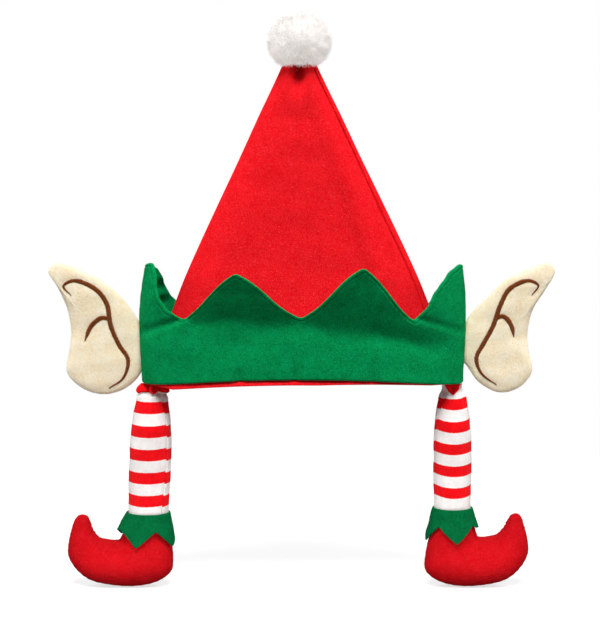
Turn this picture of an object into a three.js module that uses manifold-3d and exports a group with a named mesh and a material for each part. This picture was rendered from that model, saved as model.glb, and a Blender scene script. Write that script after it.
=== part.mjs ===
// Elf hat: a red felt cone with a turned-up green band of six points, a fur pompom, padded ears,
// and two stuffed striped legs with green ankle collars and curled red shoes that hang from the hem.
// Units are millimetres. +Z is up, the front faces -Y, and +X is the right side seen from the front.
// The origin is the centre of the head opening, level with the lowest part of the hem.
import * as THREE from 'three';
import { mergeVertices } from 'three/addons/utils/BufferGeometryUtils.js';
import Module from 'manifold-3d';

const wasm = await Module();
wasm.setup();

// Driving dimensions: crown
const crownWidth = 271.4;        // fold to fold at the hem, outside
const crownDepth = 81.4;         // front to back at the hem, outside
const crownHeight = 286;         // hem to blunt top
const crownWall = 2;             // one layer of felt
const crownTopLean = 2.6;        // how far the top leans to the left
const hemBow = 9;                // how far the hem rises from its corners to the middle
const hemPeep = 5;               // red hem that shows below the band
const seamGroove = 0.9;          // side seam, sunk into the felt

// Driving dimensions: band
const bandWall = 3;              // two layers of felt
const bandHeight = 104;          // lower edge to the tips of the points
const bandValley = 56;           // lower edge to the bottoms of the valleys
const bandLift = 3.9;            // lower edge of the band at the corners, above the origin
const bandBelly = 3.4;           // how far the sides bulge past the hem
const bandWaist = 3;             // how far front and back draw in below the valleys
const bandFlare = 24;            // how far the front and back points lean out

// Driving dimensions: pompom
const pompomWidth = 58;
const pompomHeight = 52;
const pompomSink = 12;           // how far the top of the crown goes into the fur
const lockLength = 5;            // locks of fur beyond the backing ball
const lockCount = 60;

// Driving dimensions: ears
const earLength = 81;            // base to the outermost point
const earHeight = 116.6;         // lobe to the upper tip
const earThickness = 11;
const earLift = -7;              // lobe, relative to the origin
const earSetBack = 5;            // the ear's middle plane lies behind the side folds
const stitchWidth = 3.4;
const stitchHeight = 1.1;
const stitchClearance = 0.5;     // between the thread and the face that it is sewn on

// Driving dimensions: legs
const legDiameterLeft = 37;
const legDiameterRight = 33.6;
const legLengthLeft = 120;       // hem to ankle seam
const legLengthRight = 116;
const legInset = 4.6;            // middle of the leg's top, inward from the fold of the hem
const legSwayLeft = 4.6;         // how far the ankle hangs outside the leg's top
const legSwayRight = 0.8;
const legTopWidthLeft = 23;      // gathered top, across
const legTopWidthRight = 17;
const legTopDepth = 13;          // gathered top, front to back

// Driving dimensions: collars and shoes
const collarWall = 1.6;
const collarDrop = 14;           // upper edge to the valleys
const collarPoint = 15;          // valleys to the tips
const collarFlare = 2.6;          // how far the tips stand out from the foot
const collarSplay = 3;           // how far the tip over the instep is lifted away
const collarRise = 6;            // how far the collar reaches above the ankle seam
const shoeLength = 93.5;
const shoeHeightLeft = 59.5;       // sole to ankle seam
const shoeHeightRight = 63.5;
const shoeShiftLeft = 0;         // how far the foot sits inward of the ankle
const shoeShiftRight = 4;
const toeDropLeft = 0;           // how far the curled toe hangs below its full height
const toeDropRight = 3.2;
const shoeDepth = 41;
const gap = 0.3;                 // between pieces that are sewn together

// Sections of the crown: up is a share of crownHeight, wide and deep are shares of the half sizes at the hem.
const crownSections = [
  { up: 0.035, wide: 1.0, deep: 1.0 },
  { up: 0.09, wide: 0.955, deep: 0.86 },
  { up: 0.16, wide: 0.896, deep: 0.72 },
  { up: 0.245, wide: 0.825, deep: 0.6 },
  { up: 0.33, wide: 0.755, deep: 0.51 },
  { up: 0.43, wide: 0.66, deep: 0.455 },
  { up: 0.56, wide: 0.53, deep: 0.41 },
  { up: 0.7, wide: 0.388, deep: 0.375 },
  { up: 0.83, wide: 0.26, deep: 0.34 },
  { up: 0.9, wide: 0.188, deep: 0.3 },
  { up: 0.96, wide: 0.128, deep: 0.26 },
  { up: 0.99, wide: 0.1, deep: 0.22 },
];

// Dents and soft ridges of the crown: across is a share of the half width there, up a share of crownHeight.
// Depth is a share of crownDepth, negative for a ridge; front is -1 for the front and 1 for the back.
const crownDents = [
  { front: -1, across: 0.0, up: 0.93, wide: 0.75, tall: 0.055, lean: 0, depth: 0.062 },
  { front: -1, across: 0.42, up: 0.66, wide: 0.2, tall: 0.2, lean: 0.2, depth: 0.03 },
  { front: -1, across: -0.5, up: 0.5, wide: 0.2, tall: 0.16, lean: -0.1, depth: 0.018 },
  { front: 1, across: 0.1, up: 0.9, wide: 0.7, tall: 0.07, lean: 0, depth: 0.04 },
  { front: 1, across: -0.3, up: 0.55, wide: 0.22, tall: 0.2, lean: -0.1, depth: 0.026 },
];

// Edge of the band: place is a share of the way round from the right fold over the back,
// rise is a share of the height from the valleys to the tips.
const bandPoints = [
  { place: -0.012, rise: 1.0 },
  { place: 0.087, rise: 0.0 },
  { place: 0.163, rise: 0.86 },
  { place: 0.25, rise: -0.1 },
  { place: 0.336, rise: 0.9 },
  { place: 0.413, rise: 0.0 },
  { place: 0.488, rise: 1.0 },
  { place: 0.582, rise: 0.0 },
  { place: 0.6615, rise: 0.8 },
  { place: 0.75, rise: -0.06 },
  { place: 0.8385, rise: 0.9 },
  { place: 0.911, rise: 0.02 },
];

// Creases of the band: across is a share of the half width, up a share of bandHeight,
// depth a share of crownDepth.
const bandDents = [
  { front: -1, across: -0.87, up: 0.46, wide: 0.2, tall: 0.05, lean: 0.25, depth: 0.06 },
  { front: -1, across: 0.78, up: 0.42, wide: 0.24, tall: 0.09, lean: -0.25, depth: 0.05 },
  { front: -1, across: -0.45, up: 0.3, wide: 0.16, tall: 0.16, lean: 0, depth: 0.018 },
  { front: 1, across: -0.8, up: 0.5, wide: 0.2, tall: 0.06, lean: 0.2, depth: 0.05 },
  { front: 1, across: 0.5, up: 0.45, wide: 0.25, tall: 0.08, lean: -0.1, depth: 0.04 },
];

// Outline of the ears: across is a share of earLength from the base, up a share of earHeight from the lobe.
const earOutlineLeft = [
  { across: 1.0, up: 0.94 },
  { across: 0.92, up: 1.0 },
  { across: 0.77, up: 0.982 },
  { across: 0.5, up: 0.898 },
  { across: 0.25, up: 0.765 },
  { across: 0.08, up: 0.62 },
  { across: -0.04, up: 0.45 },
  { across: -0.05, up: 0.26 },
  { across: 0.04, up: 0.13 },
  { across: 0.19, up: 0.041 },
  { across: 0.4, up: 0.0 },
  { across: 0.62, up: 0.036 },
  { across: 0.81, up: 0.16 },
  { across: 0.79, up: 0.32 },
  { across: 0.763, up: 0.46 },
  { across: 0.8, up: 0.643 },
  { across: 0.913, up: 0.83 },
];
const earOutlineRight = [
  { across: 0.982, up: 0.944 },
  { across: 0.906, up: 1.004 },
  { across: 0.768, up: 0.977 },
  { across: 0.492, up: 0.891 },
  { across: 0.246, up: 0.734 },
  { across: 0.069, up: 0.604 },
  { across: -0.039, up: 0.454 },
  { across: -0.049, up: 0.304 },
  { across: 0.049, up: 0.204 },
  { across: 0.167, up: 0.094 },
  { across: 0.394, up: 0.014 },
  { across: 0.611, up: 0.054 },
  { across: 0.747, up: 0.174 },
  { across: 0.709, up: 0.334 },
  { across: 0.694, up: 0.454 },
  { across: 0.749, up: 0.644 },
  { across: 0.886, up: 0.804 },
];

// Stitch lines on the ears, in the same shares.
const stitchLeft = [
  { across: 0.751, up: 0.754 },
  { across: 0.832, up: 0.823 },
  { across: 0.72, up: 0.866 },
  { across: 0.486, up: 0.799 },
  { across: 0.37, up: 0.69 },
  { across: 0.329, up: 0.526 },
  { across: 0.242, up: 0.381 },
  { across: 0.146, up: 0.27 },
  { across: 0.2, up: 0.13 },
  { across: 0.354, up: 0.052 },
];
const stitchRight = [
  { across: 0.729, up: 0.757 },
  { across: 0.796, up: 0.828 },
  { across: 0.69, up: 0.866 },
  { across: 0.491, up: 0.804 },
  { across: 0.394, up: 0.684 },
  { across: 0.314, up: 0.521 },
  { across: 0.217, up: 0.394 },
  { across: 0.139, up: 0.279 },
  { across: 0.197, up: 0.164 },
  { across: 0.357, up: 0.08 },
];
const branchLeft = [
  { across: 0.335, up: 0.575 },
  { across: 0.425, up: 0.584 },
  { across: 0.536, up: 0.526 },
  { across: 0.611, up: 0.411 },
];
const branchRight = [
  { across: 0.345, up: 0.584 },
  { across: 0.427, up: 0.596 },
  { across: 0.511, up: 0.528 },
  { across: 0.543, up: 0.439 },
];

// Sections of the legs: down is a share of the leg's length, full is a share of the diameter.
const legSections = [
  { down: 0.12, full: 0.74 },
  { down: 0.25, full: 0.88 },
  { down: 0.4, full: 0.97 },
  { down: 0.6, full: 1.0 },
  { down: 0.8, full: 0.98 },
  { down: 0.93, full: 0.95 },
  { down: 1.0, full: 0.92 },
];

// Sections of the shoes, from below the ankle seam to the toe. Each runs from the instep side to the
// heel side; toe is a share of shoeLength from the ankle's middle, down a share of the shoe's height
// from the ankle seam, and deep a share of shoeDepth.
const shoeSections = [
  { innerToe: 0.215, innerDown: 0.13, outerToe: -0.217, outerDown: 0.3, deep: 0.94 },
  { innerToe: 0.246, innerDown: 0.24, outerToe: -0.236, outerDown: 0.6, deep: 0.99 },
  { innerToe: 0.269, innerDown: 0.302, outerToe: -0.208, outerDown: 0.785, deep: 1.0 },
  { innerToe: 0.293, innerDown: 0.322, outerToe: -0.076, outerDown: 0.937, deep: 1.0 },
  { innerToe: 0.331, innerDown: 0.32, outerToe: 0.123, outerDown: 1.0, deep: 0.98 },
  { innerToe: 0.388, innerDown: 0.31, outerToe: 0.35, outerDown: 0.99, deep: 0.94 },
  { innerToe: 0.444, innerDown: 0.284, outerToe: 0.543, outerDown: 0.915, deep: 0.86 },
  { innerToe: 0.487, innerDown: 0.234, outerToe: 0.682, outerDown: 0.765, deep: 0.74 },
  { innerToe: 0.52, innerDown: 0.159, outerToe: 0.757, outerDown: 0.56, deep: 0.62 },
  { innerToe: 0.537, innerDown: 0.085, outerToe: 0.755, outerDown: 0.35, deep: 0.5 },
  { innerToe: 0.548, innerDown: 0.025, outerToe: 0.722, outerDown: 0.15, deep: 0.4 },
  { innerToe: 0.565, innerDown: -0.025, outerToe: 0.695, outerDown: 0.01, deep: 0.32 },
  { innerToe: 0.594, innerDown: -0.058, outerToe: 0.663, outerDown: -0.05, deep: 0.16 },
];
const shoeTip = { toe: 0.626, down: -0.069 };

// Mesh density
const crownColumns = 48;
const bandColumnAngle = 0.085;   // radians of the plan between two columns
const earSpokes = 40;
const legColumns = 22;
const shoeColumns = 20;
const collarColumnsPerSlope = 4;
const lockSides = 5;

const felt = (color) => new THREE.MeshStandardMaterial({ color, roughness: 0.95, metalness: 0 });
const redFelt = felt(0xdc1420);
const greenFelt = felt(0x007a3d);
const creamFelt = felt(0xece0c0);
const brownThread = new THREE.MeshStandardMaterial({ color: 0x7a3f19, roughness: 0.6, metalness: 0 });
const whiteFur = new THREE.MeshStandardMaterial({ color: 0xf4f3f0, roughness: 1, metalness: 0 });
const stripedJersey = new THREE.MeshStandardMaterial({ color: 0xefe6e6, roughness: 0.9, metalness: 0 });

const hat = new THREE.Group();

// Joins rings of points into a skin. A loop runs back to its first ring; otherwise each end closes
// at a centre.
function skin(rings, loop = false) {
  const columns = rings[0].length;
  const points = rings.flat();
  const faces = [];
  const last = loop ? rings.length : rings.length - 1;
  for (let r = 0; r < last; r += 1) {
    const here = r * columns;
    const next = ((r + 1) % rings.length) * columns;
    for (let c = 0; c < columns; c += 1) {
      const d = (c + 1) % columns;
      faces.push(here + c, here + d, next + d, here + c, next + d, next + c);
    }
  }
  if (!loop) {
    closeEnd(points, faces, rings[0], 0, true);
    closeEnd(points, faces, rings.at(-1), (rings.length - 1) * columns, false);
  }
  return facingOut(points, faces);
}

function closeEnd(points, faces, ring, start, first) {
  const centre = new THREE.Vector3();
  ring.forEach((p) => centre.addScaledVector(p, 1 / ring.length));
  points.push(centre);
  ring.forEach((_, c) => {
    const d = (c + 1) % ring.length;
    faces.push(...(first ? [start + d, start + c] : [start + c, start + d]), points.length - 1);
  });
}

function facingOut(points, faces) {
  let volume = 0;
  for (let f = 0; f < faces.length; f += 3) {
    const [p, q, r] = [points[faces[f]], points[faces[f + 1]], points[faces[f + 2]]];
    volume += p.dot(new THREE.Vector3().crossVectors(q, r));
  }
  const geometry = new THREE.BufferGeometry().setFromPoints(points);
  geometry.setIndex(volume > 0 ? faces : faces.reverse());
  return geometry;
}

// Turns a closed geometry into a solid that can be joined and cut, and back.
function solidOf(geometry) {
  const bare = new THREE.BufferGeometry();
  bare.setAttribute('position', geometry.getAttribute('position'));
  if (geometry.index) bare.setIndex(geometry.index);
  const merged = mergeVertices(bare, 1e-3);
  const vertProperties = merged.getAttribute('position').array;
  const triVerts = new Uint32Array(merged.index.array);
  return new wasm.Manifold(new wasm.Mesh({ numProp: 3, vertProperties, triVerts }));
}

function geometryOf(solid) {
  const mesh = solid.getMesh();
  const geometry = new THREE.BufferGeometry();
  geometry.setAttribute('position', new THREE.BufferAttribute(mesh.vertProperties, 3));
  geometry.setIndex(new THREE.BufferAttribute(mesh.triVerts, 1));
  return geometry;
}

function addPiece(name, geometry, material) {
  geometry.computeVertexNormals();
  const piece = new THREE.Mesh(geometry, material);
  piece.name = name;
  hat.add(piece);
}

const lerp = THREE.MathUtils.lerp;
const clamp = THREE.MathUtils.clamp;
const fullTurn = 2 * Math.PI;

// Reads a table at a place along one of its columns, on a smooth curve through its rows.
function tableAt(table, key, at, column) {
  const inner = table.findIndex((row) => row[key] >= at);
  if (inner === 0) return table[0][column];
  if (inner < 0) return table.at(-1)[column];
  const [a, b] = [table[inner - 1], table[inner]];
  const before = table[Math.max(inner - 2, 0)];
  const after = table[Math.min(inner + 1, table.length - 1)];
  const span = b[key] - a[key];
  const t = (at - a[key]) / span;
  const slopeA = ((b[column] - before[column]) / (b[key] - before[key])) * span;
  const slopeB = ((after[column] - a[column]) / (after[key] - a[key])) * span;
  const t2 = t * t;
  const t3 = t2 * t;
  return (2 * t3 - 3 * t2 + 1) * a[column] + (t3 - 2 * t2 + t) * slopeA
    + (3 * t2 - 2 * t3) * b[column] + (t3 - t2) * slopeB;
}

function dentDepth(dents, front, across, up) {
  let depth = 0;
  for (const dent of dents) {
    if (dent.front * front <= 0) continue;
    const leanedUp = up - dent.up;
    const leanedAcross = across - dent.across + leanedUp * dent.lean / dent.tall;
    const away = (leanedAcross / dent.wide) ** 2 + (leanedUp / dent.tall) ** 2;
    depth += dent.depth * crownDepth * Math.exp(-away) * Math.min(1, 2 * Math.abs(front));
  }
  return depth;
}

// Height of the band's lower edge round the hem; bow is 0 at the folds and 1 at front and back.
const bandBottom = (angle) => bandLift + hemBow * Math.sin(angle) ** 2;

// Lower edge of the crown: level with the band at the folds, where the legs are set in, and below it
// elsewhere.
const crownBottom = (angle) => bandBottom(angle) - hemPeep * Math.min(1, 3 * Math.sin(angle) ** 2);

// A point of the crown's skin, inset from its outer face.
function crownPoint(angle, z, inset) {
  const up = clamp(z / crownHeight, 0, 1);
  const a = tableAt(crownSections, 'up', up, 'wide') * crownWidth / 2;
  const b = tableAt(crownSections, 'up', up, 'deep') * crownDepth / 2;
  const cos = Math.cos(angle);
  const sin = Math.sin(angle);
  const dent = dentDepth(crownDents, sin, cos, up);
  const atSeam = Math.abs(angle - seamAngle) < fullTurn / crownColumns / 2;
  const groove = atSeam ? seamGroove : 0;
  const lean = -crownTopLean * up;
  const deep = b - inset - dent * Math.abs(sin) - groove;
  return new THREE.Vector3(lean + (a - inset - groove) * cos, deep * sin, z);
}

const crownAngles = Array.from({ length: crownColumns }, (_, c) => (c / crownColumns) * fullTurn);
const seamAngle = crownAngles[Math.round(crownColumns * 0.9375)];

function crownRing(z, inset) {
  return crownAngles.map((angle) => crownPoint(angle, z, inset));
}

function crownHemRing(rise, inset) {
  return crownAngles.map((angle) => crownPoint(angle, crownBottom(angle) + rise, inset));
}

function makeCrown() {
  const hemRise = 4;
  const hemTop = bandLift + hemBow + hemRise;
  const outer = crownSections.map((row) => row.up * crownHeight).filter((z) => z > hemTop);
  const inner = outer.filter((z, i) => i % 2 === 0 && z < crownHeight * 0.9);
  const topRing = crownRing(crownHeight, crownTopRound);
  const rings = [
    topRing,
    ...outer.reverse().map((z) => crownRing(z, 0)),
    crownHemRing(hemRise, 0),
    crownHemRing(0, 0),
    crownHemRing(0, crownWall),
    crownHemRing(hemRise, crownWall),
    ...inner.map((z) => crownRing(z, crownWall)),
    crownRing(crownHeight - 2 * crownWall, crownWall + crownTopRound),
  ];
  addPiece('crown', skin(rings), redFelt);
}

const crownTopRound = 3;

// Angles round the band whose columns fall on each tip and valley, evenly spaced between them along the felt.
const bandHalfWidth = crownWidth / 2 + gap + bandWall;
const bandHalfDepth = crownDepth / 2 + gap + bandWall;

const roundSteps = 720;
const roundLengths = [0];
for (let s = 1; s <= roundSteps; s += 1) {
  const mid = ((s - 0.5) / roundSteps) * fullTurn;
  const stride = Math.hypot(bandHalfWidth * Math.sin(mid), bandHalfDepth * Math.cos(mid));
  roundLengths.push(roundLengths[s - 1] + stride);
}
const roundLength = roundLengths[roundSteps];

function toAngle(place) {
  const turns = Math.floor(place);
  const wanted = (place - turns) * roundLength;
  const s = Math.max(1, roundLengths.findIndex((length) => length >= wanted));
  const part = (wanted - roundLengths[s - 1]) / (roundLengths[s] - roundLengths[s - 1]);
  return ((s - 1 + part) / roundSteps + turns) * fullTurn;
}

function toPlace(angle) {
  const turns = Math.floor(angle / fullTurn);
  const at = (angle / fullTurn - turns) * roundSteps;
  const s = Math.min(Math.floor(at), roundSteps - 1);
  return lerp(roundLengths[s], roundLengths[s + 1], at - s) / roundLength + turns;
}

function bandColumns() {
  const columns = [];
  bandPoints.forEach((from, i) => {
    const to = bandPoints[(i + 1) % bandPoints.length];
    const start = toAngle(from.place);
    const end = toAngle(i + 1 < bandPoints.length ? to.place : to.place + 1);
    const count = Math.max(4, Math.round((end - start) / bandColumnAngle));
    for (let c = 0; c < count; c += 1) {
      const angle = lerp(start, end, c / count);
      const t = (toPlace(angle) - from.place) / (toPlace(end) - from.place);
      const eased = t - 0.075 * Math.sin(fullTurn * t);
      columns.push({ angle, rise: lerp(from.rise, to.rise, eased) });
    }
  });
  return columns;
}

// A point of the band at a share of the height of its own column.
function bandPoint(column, share, inset) {
  const sin = Math.sin(column.angle);
  const cos = Math.cos(column.angle);
  const height = lerp(bandValley, bandHeight, column.rise);
  const z = bandBottom(column.angle) + height * share;
  const up = (z - bandLift) / bandHeight;
  const valleyUp = bandValley / bandHeight;
  const belly = bandBelly * Math.sin(Math.PI * clamp(up * 0.95, 0, 1));
  const waist = bandWaist * Math.exp(-(((up - valleyUp) / 0.2) ** 2));
  const flare = bandFlare * clamp((up - valleyUp) / (1 - valleyUp), 0, 1.1);
  const dent = dentDepth(bandDents, sin, cos, up);
  const a = bandHalfWidth + belly - inset;
  const b = bandHalfDepth + flare - waist - dent - inset;
  return new THREE.Vector3(a * cos, b * sin, z);
}

function makeBand() {
  const columns = bandColumns();
  const ring = (share, inset) => columns.map((column) => bandPoint(column, share, inset));
  const shares = [0, 0.15, 0.35, 0.55, 0.75, 0.9, 1];
  const innerShares = [1, 0.75, 0.5, 0.15, 0];
  const rings = [...shares.map((s) => ring(s, 0)), ...innerShares.map((s) => ring(s, bandWall))];
  addPiece('band', skin(rings, true), greenFelt);
  const grown = [0, 0.15, 0.35, 0.55, 0.75, 0.9, 1].map((s) => ring(s, -gap));
  return solidOf(skin(grown));
}

// Fur ball: a backing ball with pointed locks fused to it, and a socket for the top of the crown.
function makePompom() {
  const centre = new THREE.Vector3(-crownTopLean, 0, crownHeight - pompomSink + pompomHeight / 2);
  const squash = pompomHeight / pompomWidth;
  const radius = pompomWidth / 2;
  const ball = new THREE.IcosahedronGeometry(radius - lockLength, 2);
  const solids = [solidOf(ball)];
  const golden = Math.PI * (3 - Math.sqrt(5));
  const lockRadius = radius * 2.5 / Math.sqrt(lockCount);
  const lockTip = lockRadius * 0.28;
  for (let i = 0; i < lockCount; i += 1) {
    const up = 1 - (2 * i + 1) / lockCount;
    const out = new THREE.Vector3(Math.cos(i * golden), Math.sin(i * golden), 0);
    out.multiplyScalar(Math.sqrt(1 - up * up)).setZ(up);
    const root = radius - lockLength * 1.6;
    const cone = new THREE.CylinderGeometry(lockTip, lockRadius, radius - root, lockSides);
    cone.translate(0, (radius - root) / 2 + root, 0);
    const comb = new THREE.Vector3(Math.sin(i * 2.3), Math.cos(i * 1.7), -0.6).multiplyScalar(0.1);
    const aim = out.clone().add(comb).normalize();
    cone.applyQuaternion(new THREE.Quaternion().setFromUnitVectors(new THREE.Vector3(0, 1, 0), aim));
    solids.push(solidOf(cone));
  }
  const fur = wasm.Manifold.union(solids).scale([1, 1, squash]).translate(centre.toArray());
  const socket = solidOf(skin([
    crownRing(crownHeight + gap, crownTopRound - 2 * gap),
    ...crownSections.slice(-3).reverse().map((row) => crownRing(row.up * crownHeight, -2 * gap)),
  ]));
  addPiece('pompom', geometryOf(fur.subtract(socket)), whiteFur);
}

// A closed curve through the outline of an ear, read as a distance from the ear's middle for each direction.
function earShape(side, outline) {
  const base = side * (bandHalfWidth + bandBelly * 0.5);
  const place = (row) => new THREE.Vector3(
    base + side * row.across * earLength,
    0,
    earLift + row.up * earHeight,
  );
  const middle = place({ across: 0.45, up: 0.43 });
  const curve = new THREE.CatmullRomCurve3(outline.map(place), true, 'centripetal');
  const edge = curve.getSpacedPoints(earSpokes).slice(0, earSpokes);
  return { place, middle, edge };
}

// Half thickness of the padding at a share of the way from the middle to the edge.
const padding = (share) => (earThickness / 2) * Math.sqrt(Math.max(0, 1 - share ** 2.6));

function makeEar(name, shape, bandSolid) {
  const shares = [0.25, 0.5, 0.7, 0.85, 0.95];
  const ring = (share, face) => shape.edge.map((point) => {
    const p = shape.middle.clone().lerp(point, share);
    return p.setY(earSetBack + face * padding(share));
  });
  const rings = [
    ...shares.map((share) => ring(share, -1)),
    ring(1, 0),
    ...shares.toReversed().map((share) => ring(share, 1)),
  ];
  const ear = solidOf(skin(rings)).subtract(bandSolid);
  addPiece(name, geometryOf(ear), creamFelt);
}

// Height of an ear's front face under a point, found from the spoke that it lies on.
function earFront(shape, point) {
  const out = point.clone().sub(shape.middle);
  const heading = Math.atan2(out.z, out.x);
  let reach = earLength;
  let nearest = Infinity;
  for (const edge of shape.edge) {
    const spoke = edge.clone().sub(shape.middle);
    const off = Math.abs(Math.atan2(Math.sin(Math.atan2(spoke.z, spoke.x) - heading),
      Math.cos(Math.atan2(spoke.z, spoke.x) - heading)));
    if (off < nearest) {
      nearest = off;
      reach = spoke.length();
    }
  }
  return earSetBack - padding(clamp(out.length() / reach, 0, 1));
}

// A raised line of satin stitch that tapers to both ends.
function stitchLine(shape, table, steps, startWidth) {
  const curve = new THREE.CatmullRomCurve3(table.map(shape.place), false, 'centripetal');
  const rings = [];
  for (let s = 0; s <= steps; s += 1) {
    const t = s / steps;
    const point = curve.getPointAt(t);
    const along = curve.getTangentAt(t);
    const across = new THREE.Vector3(along.z, 0, -along.x).normalize();
    const taper = Math.min(1, startWidth + t * 5, 0.25 + (1 - t) * 5);
    const half = (stitchWidth / 2) * taper;
    const low = earFront(shape, point) - stitchClearance;
    const high = low - stitchHeight * taper;
    const corner = (sideways, y) => point.clone().addScaledVector(across, sideways * half).setY(y);
    rings.push([corner(-1, low), corner(-0.6, high), corner(0.6, high), corner(1, low)]);
  }
  return solidOf(skin(rings));
}

function makeStitching(name, shape, line, branch) {
  const joined = stitchLine(shape, line, 28, 0.25).add(stitchLine(shape, branch, 8, 0.8));
  addPiece(name, geometryOf(joined), brownThread);
}

// Leg of one side: its axis, its top and its ankle.
function legOf(side, diameter, length, sway, topWidth, shoeHeight, shoeShift, toeDrop) {
  const top = bandLift - gap;
  const start = side * (crownWidth / 2 - legInset);
  return {
    side,
    radius: diameter / 2,
    topRadius: topWidth / 2,
    start,
    end: start + side * sway,
    top,
    ankle: top - length,
    shoeHeight,
    shoeShift,
    toeDrop,
  };
}

// Radius of the leg at a height above the ankle seam.
function legRadius(leg, rise) {
  const down = 1 - rise / (leg.top - leg.ankle);
  return leg.radius * tableAt(legSections, 'down', down, 'full');
}

function legRing(leg, down, radiusX, radiusY, ruffle) {
  return Array.from({ length: legColumns }, (_, c) => {
    const angle = (c / legColumns) * fullTurn;
    const wave = 1 + ruffle * Math.cos(angle * 11 + 0.6);
    return new THREE.Vector3(
      lerp(leg.start, leg.end, down) + radiusX * wave * Math.cos(angle),
      radiusY * wave * Math.sin(angle),
      lerp(leg.top, leg.ankle, down),
    );
  });
}

function makeLeg(name, leg, ruffle) {
  const rings = [
    legRing(leg, 0, leg.topRadius, legTopDepth / 2, ruffle),
    legRing(leg, 0.07, leg.topRadius + 0.5, legTopDepth / 2 + 1.5, ruffle),
    ...legSections.map((row) => {
      const radius = leg.radius * row.full;
      const round = clamp(row.down * 3, 0, 1);
      return legRing(leg, row.down, radius, lerp(radius * 0.6, radius, round), 0);
    }),
  ];
  addPiece(name, skin(rings), stripedJersey);
}

// Ankle collar: a ring of felt whose edge has four points. Turn is the heading of the front point.
function makeCollar(name, leg, turn) {
  const slopes = 8;
  const count = slopes * collarColumnsPerSlope;
  const collarTop = leg.ankle + collarRise;
  const neck = legRadius(leg, collarRise) + gap;
  const tips = shoeLength * Math.abs(shoeSections[0].outerToe) + collarFlare;
  const ring = (share, inset) => Array.from({ length: count }, (_, c) => {
    const angle = turn + (c / count) * fullTurn;
    const t = (c % (2 * collarColumnsPerSlope)) / collarColumnsPerSlope;
    const point = Math.abs(1 - t);
    const overInstep = Math.max(0, leg.side * Math.cos(angle)) ** 4;
    const drop = share * (collarDrop + collarPoint * point * (1 - 0.7 * overInstep));
    const splay = collarSplay * overInstep * share;
    const radius = lerp(neck, tips, (drop / (collarDrop + collarPoint)) ** 0.9) + splay - inset;
    return new THREE.Vector3(
      leg.end + radius * Math.cos(angle),
      radius * Math.sin(angle),
      collarTop - drop,
    );
  });
  const rings = [
    ring(0, -collarWall), ring(0.4, -collarWall), ring(1, -collarWall),
    ring(1, 0), ring(0.4, 0), ring(0, 0),
  ];
  addPiece(name, skin(rings, true), greenFelt);
}

function makeShoe(name, leg) {
  const ankle = leg.ankle - gap;
  const at = (toe, down) => {
    const shift = leg.shoeShift * clamp(down * 2 - 0.3 + toe * 1.6, 0, 1);
    const drop = leg.toeDrop * clamp(1 - down / 0.35, 0, 1) * clamp((toe - 0.45) * 10, 0, 1);
    return new THREE.Vector3(
      leg.end + leg.side * (toe * shoeLength - shift),
      0,
      ankle - down * leg.shoeHeight - drop,
    );
  };
  const seam = Array.from({ length: shoeColumns }, (_, c) => {
    const angle = (c / shoeColumns) * fullTurn;
    const radius = legRadius(leg, 0);
    return new THREE.Vector3(leg.end + leg.side * radius * Math.cos(angle), radius * Math.sin(angle), ankle);
  });
  const rings = shoeSections.map((row) => {
    const inner = at(row.innerToe, row.innerDown);
    const outer = at(row.outerToe, row.outerDown);
    const middle = inner.clone().lerp(outer, 0.5);
    const reach = inner.clone().sub(middle);
    return Array.from({ length: shoeColumns }, (_, c) => {
      const angle = (c / shoeColumns) * fullTurn;
      const point = middle.clone().addScaledVector(reach, Math.cos(angle));
      return point.setY((row.deep * shoeDepth / 2) * Math.sin(angle));
    });
  });
  const tip = at(shoeTip.toe, shoeTip.down);
  rings.unshift(seam);
  rings.push(rings.at(-1).map((p) => tip.clone().lerp(p, 0.25)));
  addPiece(name, skin(rings), redFelt);
}

makeCrown();
const bandSolid = makeBand();
makePompom();

const earLeft = earShape(-1, earOutlineLeft);
const earRight = earShape(1, earOutlineRight);
makeEar('ear_left', earLeft, bandSolid);
makeEar('ear_right', earRight, bandSolid);
makeStitching('ear_stitching_left', earLeft, stitchLeft, branchLeft);
makeStitching('ear_stitching_right', earRight, stitchRight, branchRight);

const legLeft = legOf(
  -1, legDiameterLeft, legLengthLeft, legSwayLeft, legTopWidthLeft,
  shoeHeightLeft, shoeShiftLeft, toeDropLeft,
);
const legRight = legOf(
  1, legDiameterRight, legLengthRight, legSwayRight, legTopWidthRight,
  shoeHeightRight, shoeShiftRight, toeDropRight,
);
makeLeg('leg_left', legLeft, 0.05);
makeLeg('leg_right', legRight, 0.02);
makeShoe('shoe_left', legLeft);
makeShoe('shoe_right', legRight);
makeCollar('collar_left', legLeft, -Math.PI / 2 - 0.42);
makeCollar('collar_right', legRight, -Math.PI / 2 + 0.12);

export default hat;
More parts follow.
